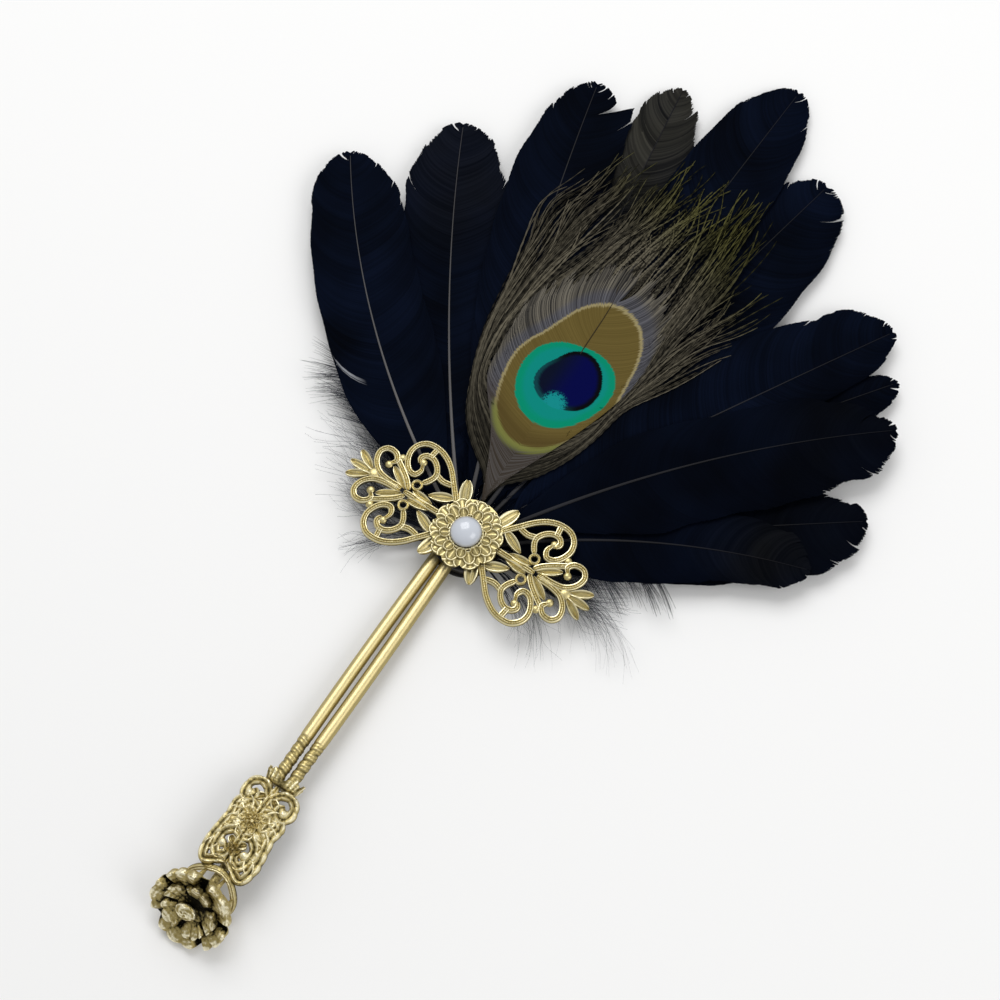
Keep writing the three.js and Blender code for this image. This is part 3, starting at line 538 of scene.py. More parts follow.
def flower_disc(radius, thickness, petal_rows, rows, count, seat, rim):
    """A stamped flower as a height over a polar grid, and how worn each point is.

    Each petal is an oval with a raised outline and a vein, and hides what lies under it. A row
    of petals is given as their number, middle, half length, half width, height and first turn,
    all lengths as shares of the radius. The rim's lobes follow the petals of the last row, and
    the middle is level as far out as the seat.
    """
    petals, *_, first = petal_rows[-1]
    edge = rim + (1 - rim) * np.abs(np.cos((angles(count) - first) * petals / 2)) ** 0.6
    share = np.linspace(0.001, 1, rows)[:, None]
    reach = share * (1 + (edge - 1) * share ** 2)
    flat = reach[..., None] * circle(count)
    height = worn = np.full(reach.shape, 0.2)
    for petals, middle, long, wide, level, first in petal_rows[::-1]:
        for angle in first + np.arange(petals) * 2 * np.pi / petals:
            out = flat @ [np.cos(angle), np.sin(angle)]
            beside = flat @ [-np.sin(angle), np.cos(angle)]
            far = np.hypot((out - middle) / long, beside / wide)
            outline = np.exp(-((far - 0.84) / 0.12) ** 2)
            vein = np.exp(-(beside / (wide * 0.14)) ** 2) * (far < 0.7)
            body = level * (0.72 + 0.28 * outline + 0.1 * vein - 0.12 * (far < 0.6))
            height = np.where(far < 1, np.maximum(height * 0.8, body), height)
            worn = np.where(far < 1, 0.36 + 0.64 * outline + 0.4 * vein, worn)
    height = np.where(reach < seat, 0.62, height)
    return backed(flat * radius, height * thickness, worn, 0)


def grip_rise(x, y):
    """The grip's bow: a half ellipse across, whose height follows the crown's shares along."""
    along = np.clip(-y / grip_length, 0, 1) * (len(grip_crown_shares) - 1)
    crown = grip_crown * np.interp(along, np.arange(len(grip_crown_shares)), grip_crown_shares)
    return crown * np.sqrt(np.maximum(0, 1 - (x / (grip_half_width * 1.15)) ** 2))


def grip_skin(points, worn):
    """A closed skin over points of the flat grip, bowed by its rise and set on the handle."""
    bowed = points.copy()
    bowed[..., 2] += grip_rise(points[..., 0], points[..., 1])
    return skin(on_handle(bowed + [0, grip_top, 0]), ridge=worn)


def openwork_grip():
    """Scrolls, leaves and bosses on both sides of a bar, which carries a rose and a bud."""
    made = []
    for side in (-1, 1):
        scale = np.array([grip_half_width * side, -grip_length])
        made += [scroll(curve(shares * scale, count), grip_scroll_width, grip_thickness)
                 for shares, count in grip_lines]
        made += [leaf(start * scale, end * scale, grip_half_width * width, grip_thickness)
                 for start, end, width in grip_leaf_shares]
        for place, radius in grip_boss_shares:
            boss = bulb(place * scale, grip_half_width * radius, grip_thickness * 0.4,
                        grip_thickness * 1.2, 10, 24)
            made.append((boss, boss[..., 2] / grip_thickness))
    bar = curve(grip_bar_shares * scale, 100)
    made.append(scroll(bar, grip_wire, grip_thickness))
    for place, radius, petals in grip_bloom_shares:
        rows = [(petals, 0.3, 0.3, 0.22, 1.0, 0.5), (petals, 0.6, 0.4, 0.32, 0.85, 0.0)]
        points, worn = flower_disc(grip_half_width * radius, grip_thickness * 1.4, rows, 22,
                                   96, 0.12, 0.8)
        made.append((points - [0, place * grip_length, 0], worn))
    return [grip_skin(points, worn) for points, worn in made]


def grip_web():
    """A low web that fills the grip behind its rose, with petals that spread from the rose."""
    rows = np.linspace(0.2, 0.6, 70)
    half = grip_half_width * 0.84
    line = np.stack([np.zeros(70), -rows * grip_length, np.zeros(70)], -1)[None]
    shares = np.concatenate([np.linspace(1, -1, 91), np.linspace(-1, 1, 15)])
    beside = shares[:91] * half
    below = (rows[:, None] - 0.42) * grip_length
    turn = np.arctan2(below, beside)
    away = np.hypot(beside, below) / half
    petal = np.abs(np.cos(turn * 3.5)) ** 0.8 * (0.75 + 0.25 * np.cos(away * 9))
    curl = np.abs(np.sin(turn * 2 + away * 5)) ** 0.9
    relief = 0.55 * petal + 0.45 * curl
    height = np.concatenate([0.3 + 0.4 * relief, np.full((70, 15), 0.12)], 1)
    worn = np.concatenate([0.15 + 0.85 * relief, np.full((70, 15), 0.3)], 1)
    section = np.stack([np.broadcast_to(shares, height.shape), height], -1)
    return grip_skin(tubes(line, [half, 0, 0], [0, 0, grip_thickness], section), worn)


def neck():
    """A round neck that leaves the middle bar and sinks to the floor of the pommel's cup."""
    sunk = -grip_crown * 0.35
    top = grip_length * 0.72
    down = [top, grip_length * 0.93, pommel_distance + grip_top - neck_end_gap]
    high = [grip_rise(np.zeros(1), np.array([-top]))[0], sunk, sunk]
    along = np.linspace(0, 1, 40)
    line = np.stack([np.zeros(40), grip_top - np.interp(along, [0, 0.35, 1], down),
                     np.interp(along, [0, 0.35, 1], high)], -1)[None]
    points = tubes(line, [neck_radius, 0, 0], [0, 0, neck_radius], circle(20))
    return skin(on_handle(points), ridge=0.35)


grip = piece("grip_casting", [*openwork_grip(), grip_web(), neck()], antique, sharp=60)
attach(grip, "root")
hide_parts("grip_openwork")


# Pommel. A cast cup of eight ribs with a pointed rim, closed by a blackened flower of two rows
# of ruffled petals, which holds a small, hammered oval medallion.
pommel_offset = -0.00044
rosette_thickness = 0.0036
cup_depth = 0.0082
cup_rim_radius = 0.0077
cup_wire = 0.0015
cup_floor_radius = 0.004
cup_floor_thickness = 0.0012
cup_cusp = 0.14
cup_ribs = 8
medallion_length = 0.0064
medallion_width = 0.005
medallion_height = 0.0016


def on_pommel(points):
    """Points of the pommel's frame, whose +Z is the way that the flower faces, on the fan."""
    face = np.pi / 2 - (pommel_lean - handle_pitch)
    return on_handle(turned(points, 0, face) + [pommel_offset, -pommel_distance, 0])


def ramp(values, low, high):
    """A straight rise from 0 at low to 1 at high, and level beyond both."""
    return np.clip((values - low) / (high - low), 0, 1)


def rosette():
    """Height over a polar grid: five broad petals, and five smaller ones above the gaps between
    them, each rising to a lip of three lobes, round a sunk and level middle."""
    around, seat = angles(480), 0.34
    turn = around + 0.42 + 0.1 * np.sin(2 * around + 1)
    share = np.linspace(0.001, 1, 110)[:, None]
    lobe = np.abs(np.cos(turn * 7.5 + 0.5 * np.sin(3 * around))) ** 0.7
    petal = np.abs(np.cos(turn * 2.5)) ** 0.5
    inner = np.abs(np.sin(turn * 2.5 + 0.2)) ** 0.5
    inner_lobe = np.abs(np.sin(turn * 7.5 + 0.6 * np.sin(2 * around + 2))) ** 0.7
    shaded = np.clip(np.sin(around + 0.2), 0, 1)
    edge = 0.88 + 0.07 * petal + 0.05 * lobe
    inner_edge = 0.5 + 0.15 * inner + 0.05 * inner_lobe
    reach = share * (1 + (edge - 1) * share ** 2)
    far = ramp(reach, inner_edge, edge)
    near = ramp(reach, seat, inner_edge)
    gap = ramp(petal, 0.4, 0.7)
    outer_rise = 0.12 + gap * (0.2 + 0.55 * far ** 0.8 * (0.7 + 0.3 * lobe) - 0.12 * far ** 8)
    inner_gap = ramp(inner, 0.35, 0.65)
    inner_rise = 0.3 + inner_gap * near ** 0.8 * (0.4 + 0.25 * inner_lobe)
    outside = reach > inner_edge
    height = np.where(reach < seat, 0.3, np.where(outside, outer_rise, inner_rise))
    worn = np.where(outside, gap * (0.12 + 0.93 * far ** 0.7) * (0.5 + 0.5 * lobe),
                    inner_gap * (0.1 + 0.9 * near ** 0.6) * (0.55 + 0.5 * inner_lobe))
    # Painted shade: the sunk middle round the boss is coloured darker towards one side.
    worn = np.where(reach < seat, 0.34 - 0.34 * shaded, worn)
    worn = worn * (0.88 + 0.12 * np.cos(share * 60 + 3 * np.sin(5 * around)))
    flat = reach[..., None] * circle(480) * rosette_radius
    points, worn = backed(flat, height * rosette_thickness, worn, 0.5)
    return skin(on_pommel(points), ridge=worn)


bloom = metal("blackened_gilt", tint(16, 14, 6), tint(168, 152, 98), tint(252, 244, 212), 0.38,
              0.7)
pommel_rosette = piece("pommel_flower", [rosette()], bloom, sharp=70)
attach(pommel_rosette, "root")
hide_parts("pommel_rosette")


def medallion():
    """An oval boss whose dome is hammered with low, irregular dents, on a low foot."""
    rise = np.linspace(0, np.pi / 2, 40)
    radii = [0, medallion_length / 2, *(np.cos(rise) * medallion_length / 2)]
    heights = [0, 0, *((0.3 + 0.7 * np.sin(rise)) * medallion_height)]
    points = disc(radii, heights, 96)
    dent = np.sin(3 * angles(96) + 14 * points[0, :, :1, 0] / medallion_length)
    dent = dent * np.sin(9 * np.linspace(0, 1, len(radii)))[:, None]
    points[0, 2:, :, 2] += 0.08 * medallion_height * dent[2:]
    points[..., 1] *= medallion_width / medallion_length
    place = [-medallion_length * 0.14, -medallion_length * 0.2, rosette_thickness * 0.3 + fit_gap]
    return skin(on_pommel(points + place), ridge=0.72 + 0.3 * dent)


pommel_medallion = piece("pommel_boss", [medallion()], bloom, sharp=70)
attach(pommel_medallion, "root")
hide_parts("pommel_medallion")


def pommel_cup():
    """A rim that is drawn up to a point at the top, eight ribs, and a round floor."""
    ring = circle(160)
    reach = cup_rim_radius * (1 + cup_cusp * np.maximum(0, np.sin(angles(160) + 0.2)) ** 8)
    rim = lifted(ring * reach[:, None], -cup_depth - cup_wire * 0.2)[None]
    section = mirrored([[1, 0], [1, 0.4], [0.7, 0.9], [0.3, 0.8], [0, 1]])
    hoop = tubes(rim, lifted(ring) * cup_wire * 0.6, [0, 0, cup_wire], section)
    skins = [skin(on_pommel(hoop), closed=True,
                  ridge=[0.3, 0.8, 0.95, 0.5, 0.9, 0.5, 0.7, 0.4, 0])]
    rib = curve([(cup_floor_radius * 0.8, -cup_floor_thickness),
                 (cup_rim_radius * 0.72, -cup_floor_thickness - cup_depth * 0.1),
                 (cup_rim_radius * 0.98, -cup_depth * 0.55 + fit_gap),
                 (cup_rim_radius, -cup_depth + fit_gap)], 40)
    out = circle(2 * cup_ribs)[1::2, None]
    lines = lifted(rib[:, :1] * out, rib[:, 1])
    beside = lifted(out[..., ::-1] * [-1, 1])
    facing = unit(np.cross(np.gradient(lines, axis=1), beside))
    half = cup_wire / 2 * (0.6 + 0.4 * np.sin(np.linspace(0, np.pi, 40)) ** 2)[:, None]
    skins.append(skin(on_pommel(tubes(lines, beside * half, facing * half, circle(12))),
                      ridge=0.5))
    bottom = -fit_gap - cup_floor_thickness
    floor = disc([0, cup_floor_radius, cup_floor_radius, 0],
                 [bottom, bottom, -fit_gap, -fit_gap], 48)
    return [*skins, skin(on_pommel(floor), ridge=0.3)]


cup = piece("pommel_basket", pommel_cup(), antique, sharp=60)
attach(cup, "root")
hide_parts("pommel_cup")


# Goose feathers. Eleven dyed flight feathers, near black with a blue sheen, fan out from the
# hub in three layers. Each is a tapered shaft with over six hundred barbs, which zip
# together in clumps and part at the edges, and with loose down at its foot.
feather_length = 0.176
feather_half_width = 0.015
quill_radius = 0.0007
shaft_tip_radius = 0.00012
root_radius = 0.0057
first_feather_height = 0.0026
feather_pitch = 0.0012
vane_arch = 0.0025
tip_droop = 0.0016
root_fan = (-66, 73)
barb_sweep = 0.125
barbs_a_side = 330
barb_half_width = 0.00034
barb_thickness = 0.00003
barb_curl = 1.35
barb_lift = 0.00028
clump_tilt = 0.07
hair_thickness = 0.00005
afterfeather_hairs = 260
afterfeather_reach = 0.0085
afterfeather_half_width = 0.00024
afterfeather_curl = 0.0005
afterfeather_sag = 0.0003
soft_hairs = 260
soft_hair_lengths = (0.003, 0.011)
soft_hair_half_width = 0.0001
soft_hair_sag = 0.0004
# For a feather with a downy edge: its side, and the shares between which the hairs leave
soft_edges = {0: (-1, 0.08, 0.42), 10: (1, 0.12, 0.5)}
# For a feather whose vane is worn narrow: the side, its middle, and the share that is lost
narrowed = {10: (1, 0.8, 0.3), 6: (-1, 0.86, 0.16)}
# For a feather that lies under others' shade: how much of its sheen is left
sheen_left = {8: 0.3, 9: 0.3, 10: 0.6}
# For a feather whose vane ends in a step: the side, and the share where the wide part ends
stepped = {2: (1, 0.972)}
# For a feather with a few barbs painted pale as a highlight: their side, their first and last
# share, their strength
highlit_barbs = {0: (-1, 0.358, 0.37, 0.4)}
# Turn in degrees; reach, bow, left, right and swell shares; layer; brown, shaft, ragged shares
goose_feathers = [
    (-50.8, 0.725, 0.12, 0.94, 1.06, 0.38, 1, 0.0, 0.8, 0.6),
    (-35.3, 0.755, 0.06, 1.02, 1.14, 0.5, 0, 0.07, 0.7, 0.9),
    (-19.6, 0.862, 0.034, 1.02, 1.02, 0.62, 1, 0.0, 0.35, 0.8),
    (-10.4, 0.905, 0, 0.84, 0.86, 0.6, 0, 0.6, 0.2, 1.3),
    (0.3, 1, 0, 1.05, 0.95, 0.62, 1, 0.0, 0.2, 0.6),
    (9.2, 0.886, 0, 1.06, 1.28, 0.6, 0, 0.0, 0.2, 0.7),
    (28.2, 0.798, 0, 1.2, 0.7, 0.4, 1, 0.0, 0.2, 0.6),
    (34.2, 0.764, 0, 0.52, 0.72, 0.48, 0, 0.0, 0.2, 0.8),
    (40.6, 0.728, 0.08, 0.86, 1.16, 0.4, 2, 0.04, 0.15, 1.2),
    (52.5, 0.65, 0, 0.75, 1.08, 0.52, 0, 0.05, 0.15, 0.9),
    (61, 0.555, 0.1, 0.8, 0.8, 0.3, 1, 0.1, 0.15, 1.0)]


def polar(reach, turn):
    """Points in the plane at a reach and a turn in degrees from +Y towards +X."""
    angle = np.radians(turn)
    return np.stack([reach * np.sin(angle), reach * np.cos(angle)], -1)


def dome(points):
    """The fan's arch over the plane: a parabola out from the pads, less a droop at the tips."""
    share = np.hypot(points[..., 0], points[..., 1]) - pad_radius
    share = np.maximum(0, share / (feather_length - pad_radius))
    return vane_arch * 4 * share * (1 - share) - tip_droop * share ** 2


def bezier(root, middle, tip, share):
    """Points of a quadratic curve, and its unit vectors to the right of its way."""
    share = share[..., None]
    line = (1 - share) ** 2 * root + 2 * share * (1 - share) * middle + share ** 2 * tip
    way = 2 * (1 - share) * (middle - root) + 2 * share * (tip - middle)
    return line, unit(way)[..., ::-1] * [1, -1]


def vane_form(share, swell):
    """The vane's half-width: it swells by a quarter sine wave and closes in a blunt tip."""
    along = ramp(share, 0.1, 1)
    return np.sin(np.minimum(1, along / swell) * np.pi / 2) * np.sqrt(1 - along ** 9)


def clumps(random, count, low, high):
    """Each barb's clump, where a clump holds at least low and less than high barbs, and how
    many clumps there are."""
    ends = np.cumsum(random.integers(low, high, count))
    clump = np.searchsorted(ends, np.arange(count), side="right")
    return clump, clump.max() + 1


def clump_means(values, clump):
    """The mean of the barbs' values in each clump."""
    return np.bincount(clump, values) / np.bincount(clump)


def ribbons(line, height, half, thickness, tilt=0.0):
    """Three-sided ribbons along flat lines, lifted to a height and tilted about their lines."""
    centre = lifted(line, height)
    across = sideways(centre)
    across[..., 2] = tilt
    half = np.broadcast_to(half, line.shape[:-1])[..., None]
    return tubes(centre, across * half, [0, 0, thickness], [[1, 0], [0, 1], [-1, 0]])


def shaft(line, height, radius):
    """A round shaft along a flat line, lifted to a height, with a radius at each station."""
    centre, radius = lifted(line, height)[None], radius[:, None]
    return tubes(centre, sideways(centre) * radius, radius * [0, 0, 1], circle(8))


goose = Look("goose_barbs", Roughness=0.5, Specular_IOR_Level=0.008)
# The brighter navy is partly the barbs' and clumps' random tone and partly a painted sheen, also
# in soft random patches.
tone_and_sheen = goose.value("tone")
sheen_patches = goose.noise(38.0, 2.0).step(0.2, 0.9)
navy = goose.blend(tone_and_sheen, goose.blend(sheen_patches, tint(1, 2, 5), tint(4, 9, 22)),
                   goose.blend(sheen_patches, tint(3, 6, 14), tint(10, 18, 37)))
brown = goose.blend(tone_and_sheen, tint(14, 14, 13), tint(72, 70, 61))
vane = goose.blend(goose.value("brown"), navy, brown)
vane = goose.blend(goose.value("shaft"), vane, tint(128, 126, 126))
# On a few barbs of the first feather the pale colour is a painted highlight.
goose.set("Base Color", goose.blend(goose.value("pale"), vane, tint(205, 208, 215)))


def vane_barbs(random, spine, level, order, side, width, reach, swell, browned, ragged):
    """The barbs on one side of the shaft.

    A barb leaves the shaft at its own share of a quadratic curve and ends a sweep further up.
    On the way it stands off by a sine of its run, as far as the vane's form, less its wear.
    Parted clumps are pulled together at their ends.
    """
    share = np.linspace(0.075, 0.99, barbs_a_side)
    clump, count = clumps(random, barbs_a_side, 5, 22)
    parted = (random.random(count) < 0.16 * ragged)[clump] * 1.0
    shift = random.normal(0, 0.004, count)[clump]
    short = (random.random(count) ** 4)[clump] * 0.14 * ramp(share, 0.65, 0.9)
    end = share + barb_sweep * (1 - np.exp((share - 1) / barb_sweep * 0.9))
    near_tip = ramp(share, 0.72, 0.92)
    worn_off = 0.02 + near_tip * (0.03 + 0.12 * random.random(count)[clump] ** 1.5)
    kept = 1 - ragged * worn_off * random.uniform(0.6, 1, barbs_a_side)
    middle_end = clump_means(end, clump)[clump]
    pull = parted * ragged * (0.25 * (middle_end - end) + shift * (1 - share) ** 0.3)
    reachout = vane_form(np.clip(end + pull * 0.5, 0, 0.9999), swell)
    reachout = reachout * feather_half_width * width
    wave = np.sin(end * 19 + order * 2 + side) * 0.02 + np.sin(end * 47 + order * 3) * 0.014
    wave = wave * (1 + 3.5 * ramp(end, 0.75, 1))
    loss = short + wave + random.uniform(0, 0.012 + 0.02 * near_tip)
    if order in narrowed:
        worn_side, place, amount = narrowed[order]
        loss = loss + amount * (side == worn_side) * np.exp(-((end - place) / 0.15) ** 2)
    reachout = reachout * (1.02 - ragged * loss)
    reachout = reachout * np.where(share > 0.97, random.uniform(0.5, 1, barbs_a_side), 1)
    extra = np.zeros(barbs_a_side)
    if order in stepped and stepped[order][0] == side:
        wide = feather_half_width * width * vane_form(end * 0.82, swell)
        wide = wide * (1 - 0.1 * random.random(count)[clump])
        extra = np.maximum(0, wide - reachout) * (end < stepped[order][1])
        pull = pull * (end < 0.8)
    q = np.linspace(0, 1, 9)
    run = q * kept[:, None]
    at = share[:, None] + (end - share)[:, None] * (0.4 * run + 0.6 * run ** 2)
    at = np.clip(at + pull[:, None] * run ** 2, 0, 0.9995)
    line, across = bezier(*spine, at)
    offset = reachout[:, None] * np.sin(run * barb_curl) / np.sin(barb_curl)
    offset = offset + extra[:, None] * run ** 2
    line = line + across * (side * (offset - quill_radius * 0.15))[..., None]
    height = level + dome(line) + barb_lift * np.sin(np.pi * q)
    half = barb_half_width * (1 - 0.6 * ramp(q, 0.8, 1) ** 2)
    points = ribbons(line, height, half * (0.75 + 0.25 * reach), barb_thickness, clump_tilt)
    tone = 0.5 * random.random(barbs_a_side) + 0.5 * random.random(count)[clump]
    tone = tone * sheen_left.get(order, 1)
    worn = browned * ramp(end, 0.72, 0.92)
    # A painted highlight: a few barbs are coloured pale.
    pale = np.zeros(barbs_a_side)
    if order in highlit_barbs:
        highlight_side, low, high, strength = highlit_barbs[order]
        chosen = (share > low) & (share < high) & (random.random(barbs_a_side) < 0.5)
        pale = strength * chosen * (side == highlight_side)
    pale = pale[:, None] * np.sin(np.pi * ramp(q, 0.375, 1))
    return skin(points, tone=tone[:, None, None], brown=worn[:, None, None],
                pale=pale[..., None])


def afterfeather(random, spine, level):
    """Loose hairs at the vane's foot, which stand off to both sides, curl by a sine and sag."""
    share = random.uniform(0.02, 0.2, afterfeather_hairs)
    q = np.linspace(0, 1, 12)
    away = random.uniform(-1, 1, afterfeather_hairs) * afterfeather_reach
    away = away * np.minimum(1, 0.35 + share * 6)
    way = random.uniform(0.05, 0.15, afterfeather_hairs)
    line, across = bezier(*spine, share[:, None] + way[:, None] * q)
    curl = np.sin(q * 8 + random.uniform(0, 6, (afterfeather_hairs, 1))) * afterfeather_curl
    line = line + across * (away[:, None] * q ** 0.8 + curl * q)[..., None]
    sag = afterfeather_sag * np.sin(np.pi * q) * random.random((len(line), 1))
    half = afterfeather_half_width * (1 - 0.8 * q)
    return skin(ribbons(line, level + dome(line) - sag, half, hair_thickness), tone=0.1)


def soft_edge(random, spine, level, order, half_width, swell):
    """Clumps of loose hairs that leave the vane near its edge and reach past it."""
    side, low, high = soft_edges[order]
    clump, count = clumps(random, soft_hairs, 6, 18)
    share = np.sort(random.uniform(low, high, count))[clump]
    share = share + random.normal(0, 0.008, soft_hairs)
    run = 0.09 + random.normal(0, 0.03, count)[clump]
    run = run + random.normal(0, 0.012, soft_hairs)
    q = np.linspace(0, 1, 12)
    line, across = bezier(*spine, share[:, None] + run[:, None] * q ** 0.8)
    edge = half_width * vane_form(np.clip(share + 0.06, 0, 1), swell)
    length = random.uniform(*soft_hair_lengths, count)[clump]
    length = length * random.uniform(0.5, 1, soft_hairs)
    away = edge[:, None] * (0.6 + 0.4 * q) + length[:, None] * q ** 1.3
    line = line + across * (side * away)[..., None]
    half = soft_hair_half_width * (1 - 0.8 * q)
    points = ribbons(line, level + dome(line) - soft_hair_sag * q, half, hair_thickness)
    return skin(points, tone=0.6, pale=0.06)


def goose_feather(order, turn, reach, bow, left, right, swell, layer, browned, shafted, ragged):
    """A vane of barbs on each side, loose hairs at the foot and on a soft edge, and the shaft.

    The shaft's line is a quadratic curve from the hub to the tip, whose middle point stands off
    the straight line by the bow's share of its length.
    """
    random = np.random.default_rng(20 + order)
    root_turn = root_fan[0] + (root_fan[1] - root_fan[0]) * order / (len(goose_feathers) - 1)
    root, tip = polar(root_radius, root_turn), polar(feather_length * reach, turn)
    along = tip - root
    middle = (root + tip) / 2 + np.array([-along[1], along[0]]) * bow
    spine = root, middle, tip
    level = first_feather_height + feather_pitch * layer
    skins = [vane_barbs(random, spine, level, order, side, width, reach, swell, browned, ragged)
             for side, width in ((-1, left), (1, right))]
    skins.append(afterfeather(random, spine, level))
    if order in soft_edges:
        half_width = feather_half_width * (left if soft_edges[order][0] < 0 else right)
        skins.append(soft_edge(random, spine, level, order, half_width, swell))
    share = np.linspace(0, 0.985, 60)
    line, _ = bezier(*spine, share)
    radius = shaft_tip_radius + (quill_radius - shaft_tip_radius) * (1 - share) ** 2.2
    points = shaft(line, level + dome(line) + quill_radius * 0.15, radius)
    fade = shafted * (1 - 0.75 * share)
    return [*skins, skin(points, tone=0.3, brown=0.0, shaft=fade[:, None])]


for order, spec in enumerate(goose_feathers):
    feather = piece(f"goose_plume_{order + 1}", goose_feather(order, *spec), goose, sharp=40)
    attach(feather, "root")
    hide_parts(f"goose_feather_{order + 1}")


# Peacock feather. One tail feather, cut short above its eye. Its close barbs carry the eye:
# an indigo heart in a teal ring, on a bronze oval with a violet-grey border. Loose herls run
# up both flanks and fan out past the top.
peacock_length = 0.094
peacock_quill_radius = 0.00065
peacock_tip_radius = 0.00014
peacock_layer = 2
eye_barbs_a_side = 330
eye_barb_half_width = 0.0003
eye_barb_thickness = 0.00002
eye_barb_overlap = 0.0003
eye_barb_height = 0.00028
eye_barb_arch = 0.00018
loose_tip_length = 0.001
loose_tip_growth = 0.009
loose_tip_drop = 0.0003
left_herls = 56
right_herls = 42
inner_herls = 240
herl_half_width = 0.00042
herl_thickness = 0.0002
herl_sink = 0.00015
herl_lift = (-0.0005, 0.0003)
herl_sway = 0.0028
herl_clump_sway = 0.0024
rachis_rise = 0.00048
rachis_shares = [[-0.03, 0.052], [-0.031, 0.213], [-0.038, 0.426], [-0.045, 0.57], [-0.052, 0.71],
                 [-0.061, 0.871], [-0.078, 0.938]]
eye_left_shares = [[-0.062, 0.22], [-0.146, 0.353], [-0.245, 0.469], [-0.264, 0.58], [-0.27, 0.7],
                   [-0.226, 0.804], [-0.148, 0.9], [-0.087, 0.953], [-0.043, 0.972]]
eye_right_shares = [[-0.021, 0.229], [0.045, 0.365], [0.093, 0.488], [0.131, 0.627],
                    [0.133, 0.751], [0.102, 0.853], [0.055, 0.926], [-0.014, 0.972]]
flow_shares = np.array([
    [[-0.069, 0.09], [-0.124, 0.147], [-0.219, 0.302], [-0.293, 0.456], [-0.338, 0.59],
     [-0.365, 0.739], [-0.394, 0.915], [-0.42, 1.064], [-0.378, 1.191], [-0.335, 1.362]],
    [[-0.053, 0.106], [-0.085, 0.213], [-0.16, 0.351], [-0.255, 0.468], [-0.282, 0.617],
     [-0.277, 0.745], [-0.255, 0.872], [-0.213, 1.032], [-0.181, 1.191], [-0.17, 1.457]],
    [[-0.032, 0.128], [-0.034, 0.266], [-0.038, 0.426], [-0.045, 0.553], [-0.052, 0.702],
     [-0.06, 0.851], [-0.077, 0.947], [-0.064, 1.096], [-0.032, 1.277], [-0.011, 1.5]],
    [[-0.016, 0.106], [-0.011, 0.213], [0.048, 0.362], [0.099, 0.489], [0.138, 0.628],
     [0.147, 0.755], [0.144, 0.894], [0.154, 1.032], [0.16, 1.223], [0.138, 1.5]],
    [[0.006, 0.112], [0.006, 0.148], [0.074, 0.295], [0.13, 0.433], [0.16, 0.585],
     [0.216, 0.726], [0.261, 0.87], [0.317, 0.971], [0.364, 1.118], [0.38, 1.213]]])
bronze_shares = [[-12.5, 33.8], [-17.2, 40.3], [-19.8, 48], [-19.5, 57.6], [-16.2, 68.6],
                 [-10.2, 77.2], [-4.4, 82.6], [-0.8, 84], [5.6, 79.4], [10.4, 69.6], [12.6, 60.5],
                 [11.4, 51], [7.6, 40.4], [1, 33], [-6, 31.5]]
teal_shares = [[-15.4, 45.4], [-17.2, 53.9], [-13.1, 63.6], [-5.5, 66.9], [5.8, 66], [10, 61.1],
               [9.7, 52.3], [4.1, 42.2], [-3.6, 39.3], [-11.4, 41.5]]
heart_shares = [[-10.3, 49], [-11.6, 54.8], [-8, 62.7], [-1.8, 65.5], [4.3, 63], [6.5, 55.8],
                [2.9, 46.6], [-1.1, 48.6], [-5.3, 45.7]]
outline_unit = 0.001
eye_level = first_feather_height + feather_pitch * peacock_layer


peacock = Look("peacock_barbs", Roughness=0.5, Specular_IOR_Level=0.02)
eye_centre = (-3.5, 56.0)
place = peacock.place()
x_mm, y_mm = (peacock.node("ShaderNodeSeparateXYZ", {}, {0: place}, axis) / outline_unit
              for axis in (0, 1))
east, north = x_mm - eye_centre[0], y_mm - eye_centre[1]
radius = (east * east + north * north) ** 0.5
angle = east.math("ARCTAN2", north, east)


def outline_share(outline, order):
    """How far out a point lies, as a share of the outline's radius on its side.

    The radius by angle is a Fourier series, fitted to the outline's points by least squares.
    """
    away = np.array(outline) - eye_centre
    turns = np.arctan2(away[:, 1:], away[:, :1]) * np.arange(order + 1)
    terms = np.concatenate([np.cos(turns), np.sin(turns[:, 1:])], 1)
    numbers = np.linalg.lstsq(terms, np.hypot(*away.T), rcond=None)[0].tolist()
    series = numbers[0]
    for step in range(1, order + 1):
        series = series + (angle * step).cosine() * numbers[step]
        series = series + (angle * step).sine() * numbers[order + step]
    return radius / series


tone = peacock.value("tone")
ragged_edge = (tone - 0.5) * 0.03
bronze_at = outline_share(bronze_shares, 4) + ragged_edge
teal_at = outline_share(teal_shares, 3) + ragged_edge
heart_at = outline_share(heart_shares, 3) + ragged_edge
grey = peacock.blend(tone, tint(15, 14, 13), tint(112, 106, 91))
violet = peacock.blend(tone, tint(48, 48, 52), tint(90, 90, 96))
far_out = (bronze_at - 1.13).step(0.0, 0.16) * (y_mm - 40.0).step(0.0, 8.0)
eye = peacock.blend(far_out * 0.75, violet, grey)
foot_grey = peacock.blend(tone, tint(30, 32, 35), tint(88, 90, 94))
bronze = peacock.blend(tone, tint(88, 75, 37), tint(100, 86, 45))
glow = (40.0 - y_mm).step(0.0, 4.0) * (1.1 - bronze_at).step(0.0, 0.07)
shade = (teal_at - 1.0).step(0.0, 0.3) * (47.0 - y_mm).step(0.0, 10.0)
dark_rim = peacock.blend((east + north).step(-8.0, 2.0), tint(12, 60, 66), tint(3, 4, 8))
deep = peacock.blend((x_mm + 9.0).step(0.0, 8.0), tint(6, 13, 34), tint(0, 3, 64))
notch = ((x_mm + 2.5) ** 2.0 + (y_mm - 47.5) ** 2.0) ** 0.5
sparkle = (peacock.noise(2600.0, 1.0) + (3.6 - notch) * 0.12).step(0.46, 0.56)
sparkle = sparkle * (4.6 - notch).step(0.0, 2.0)
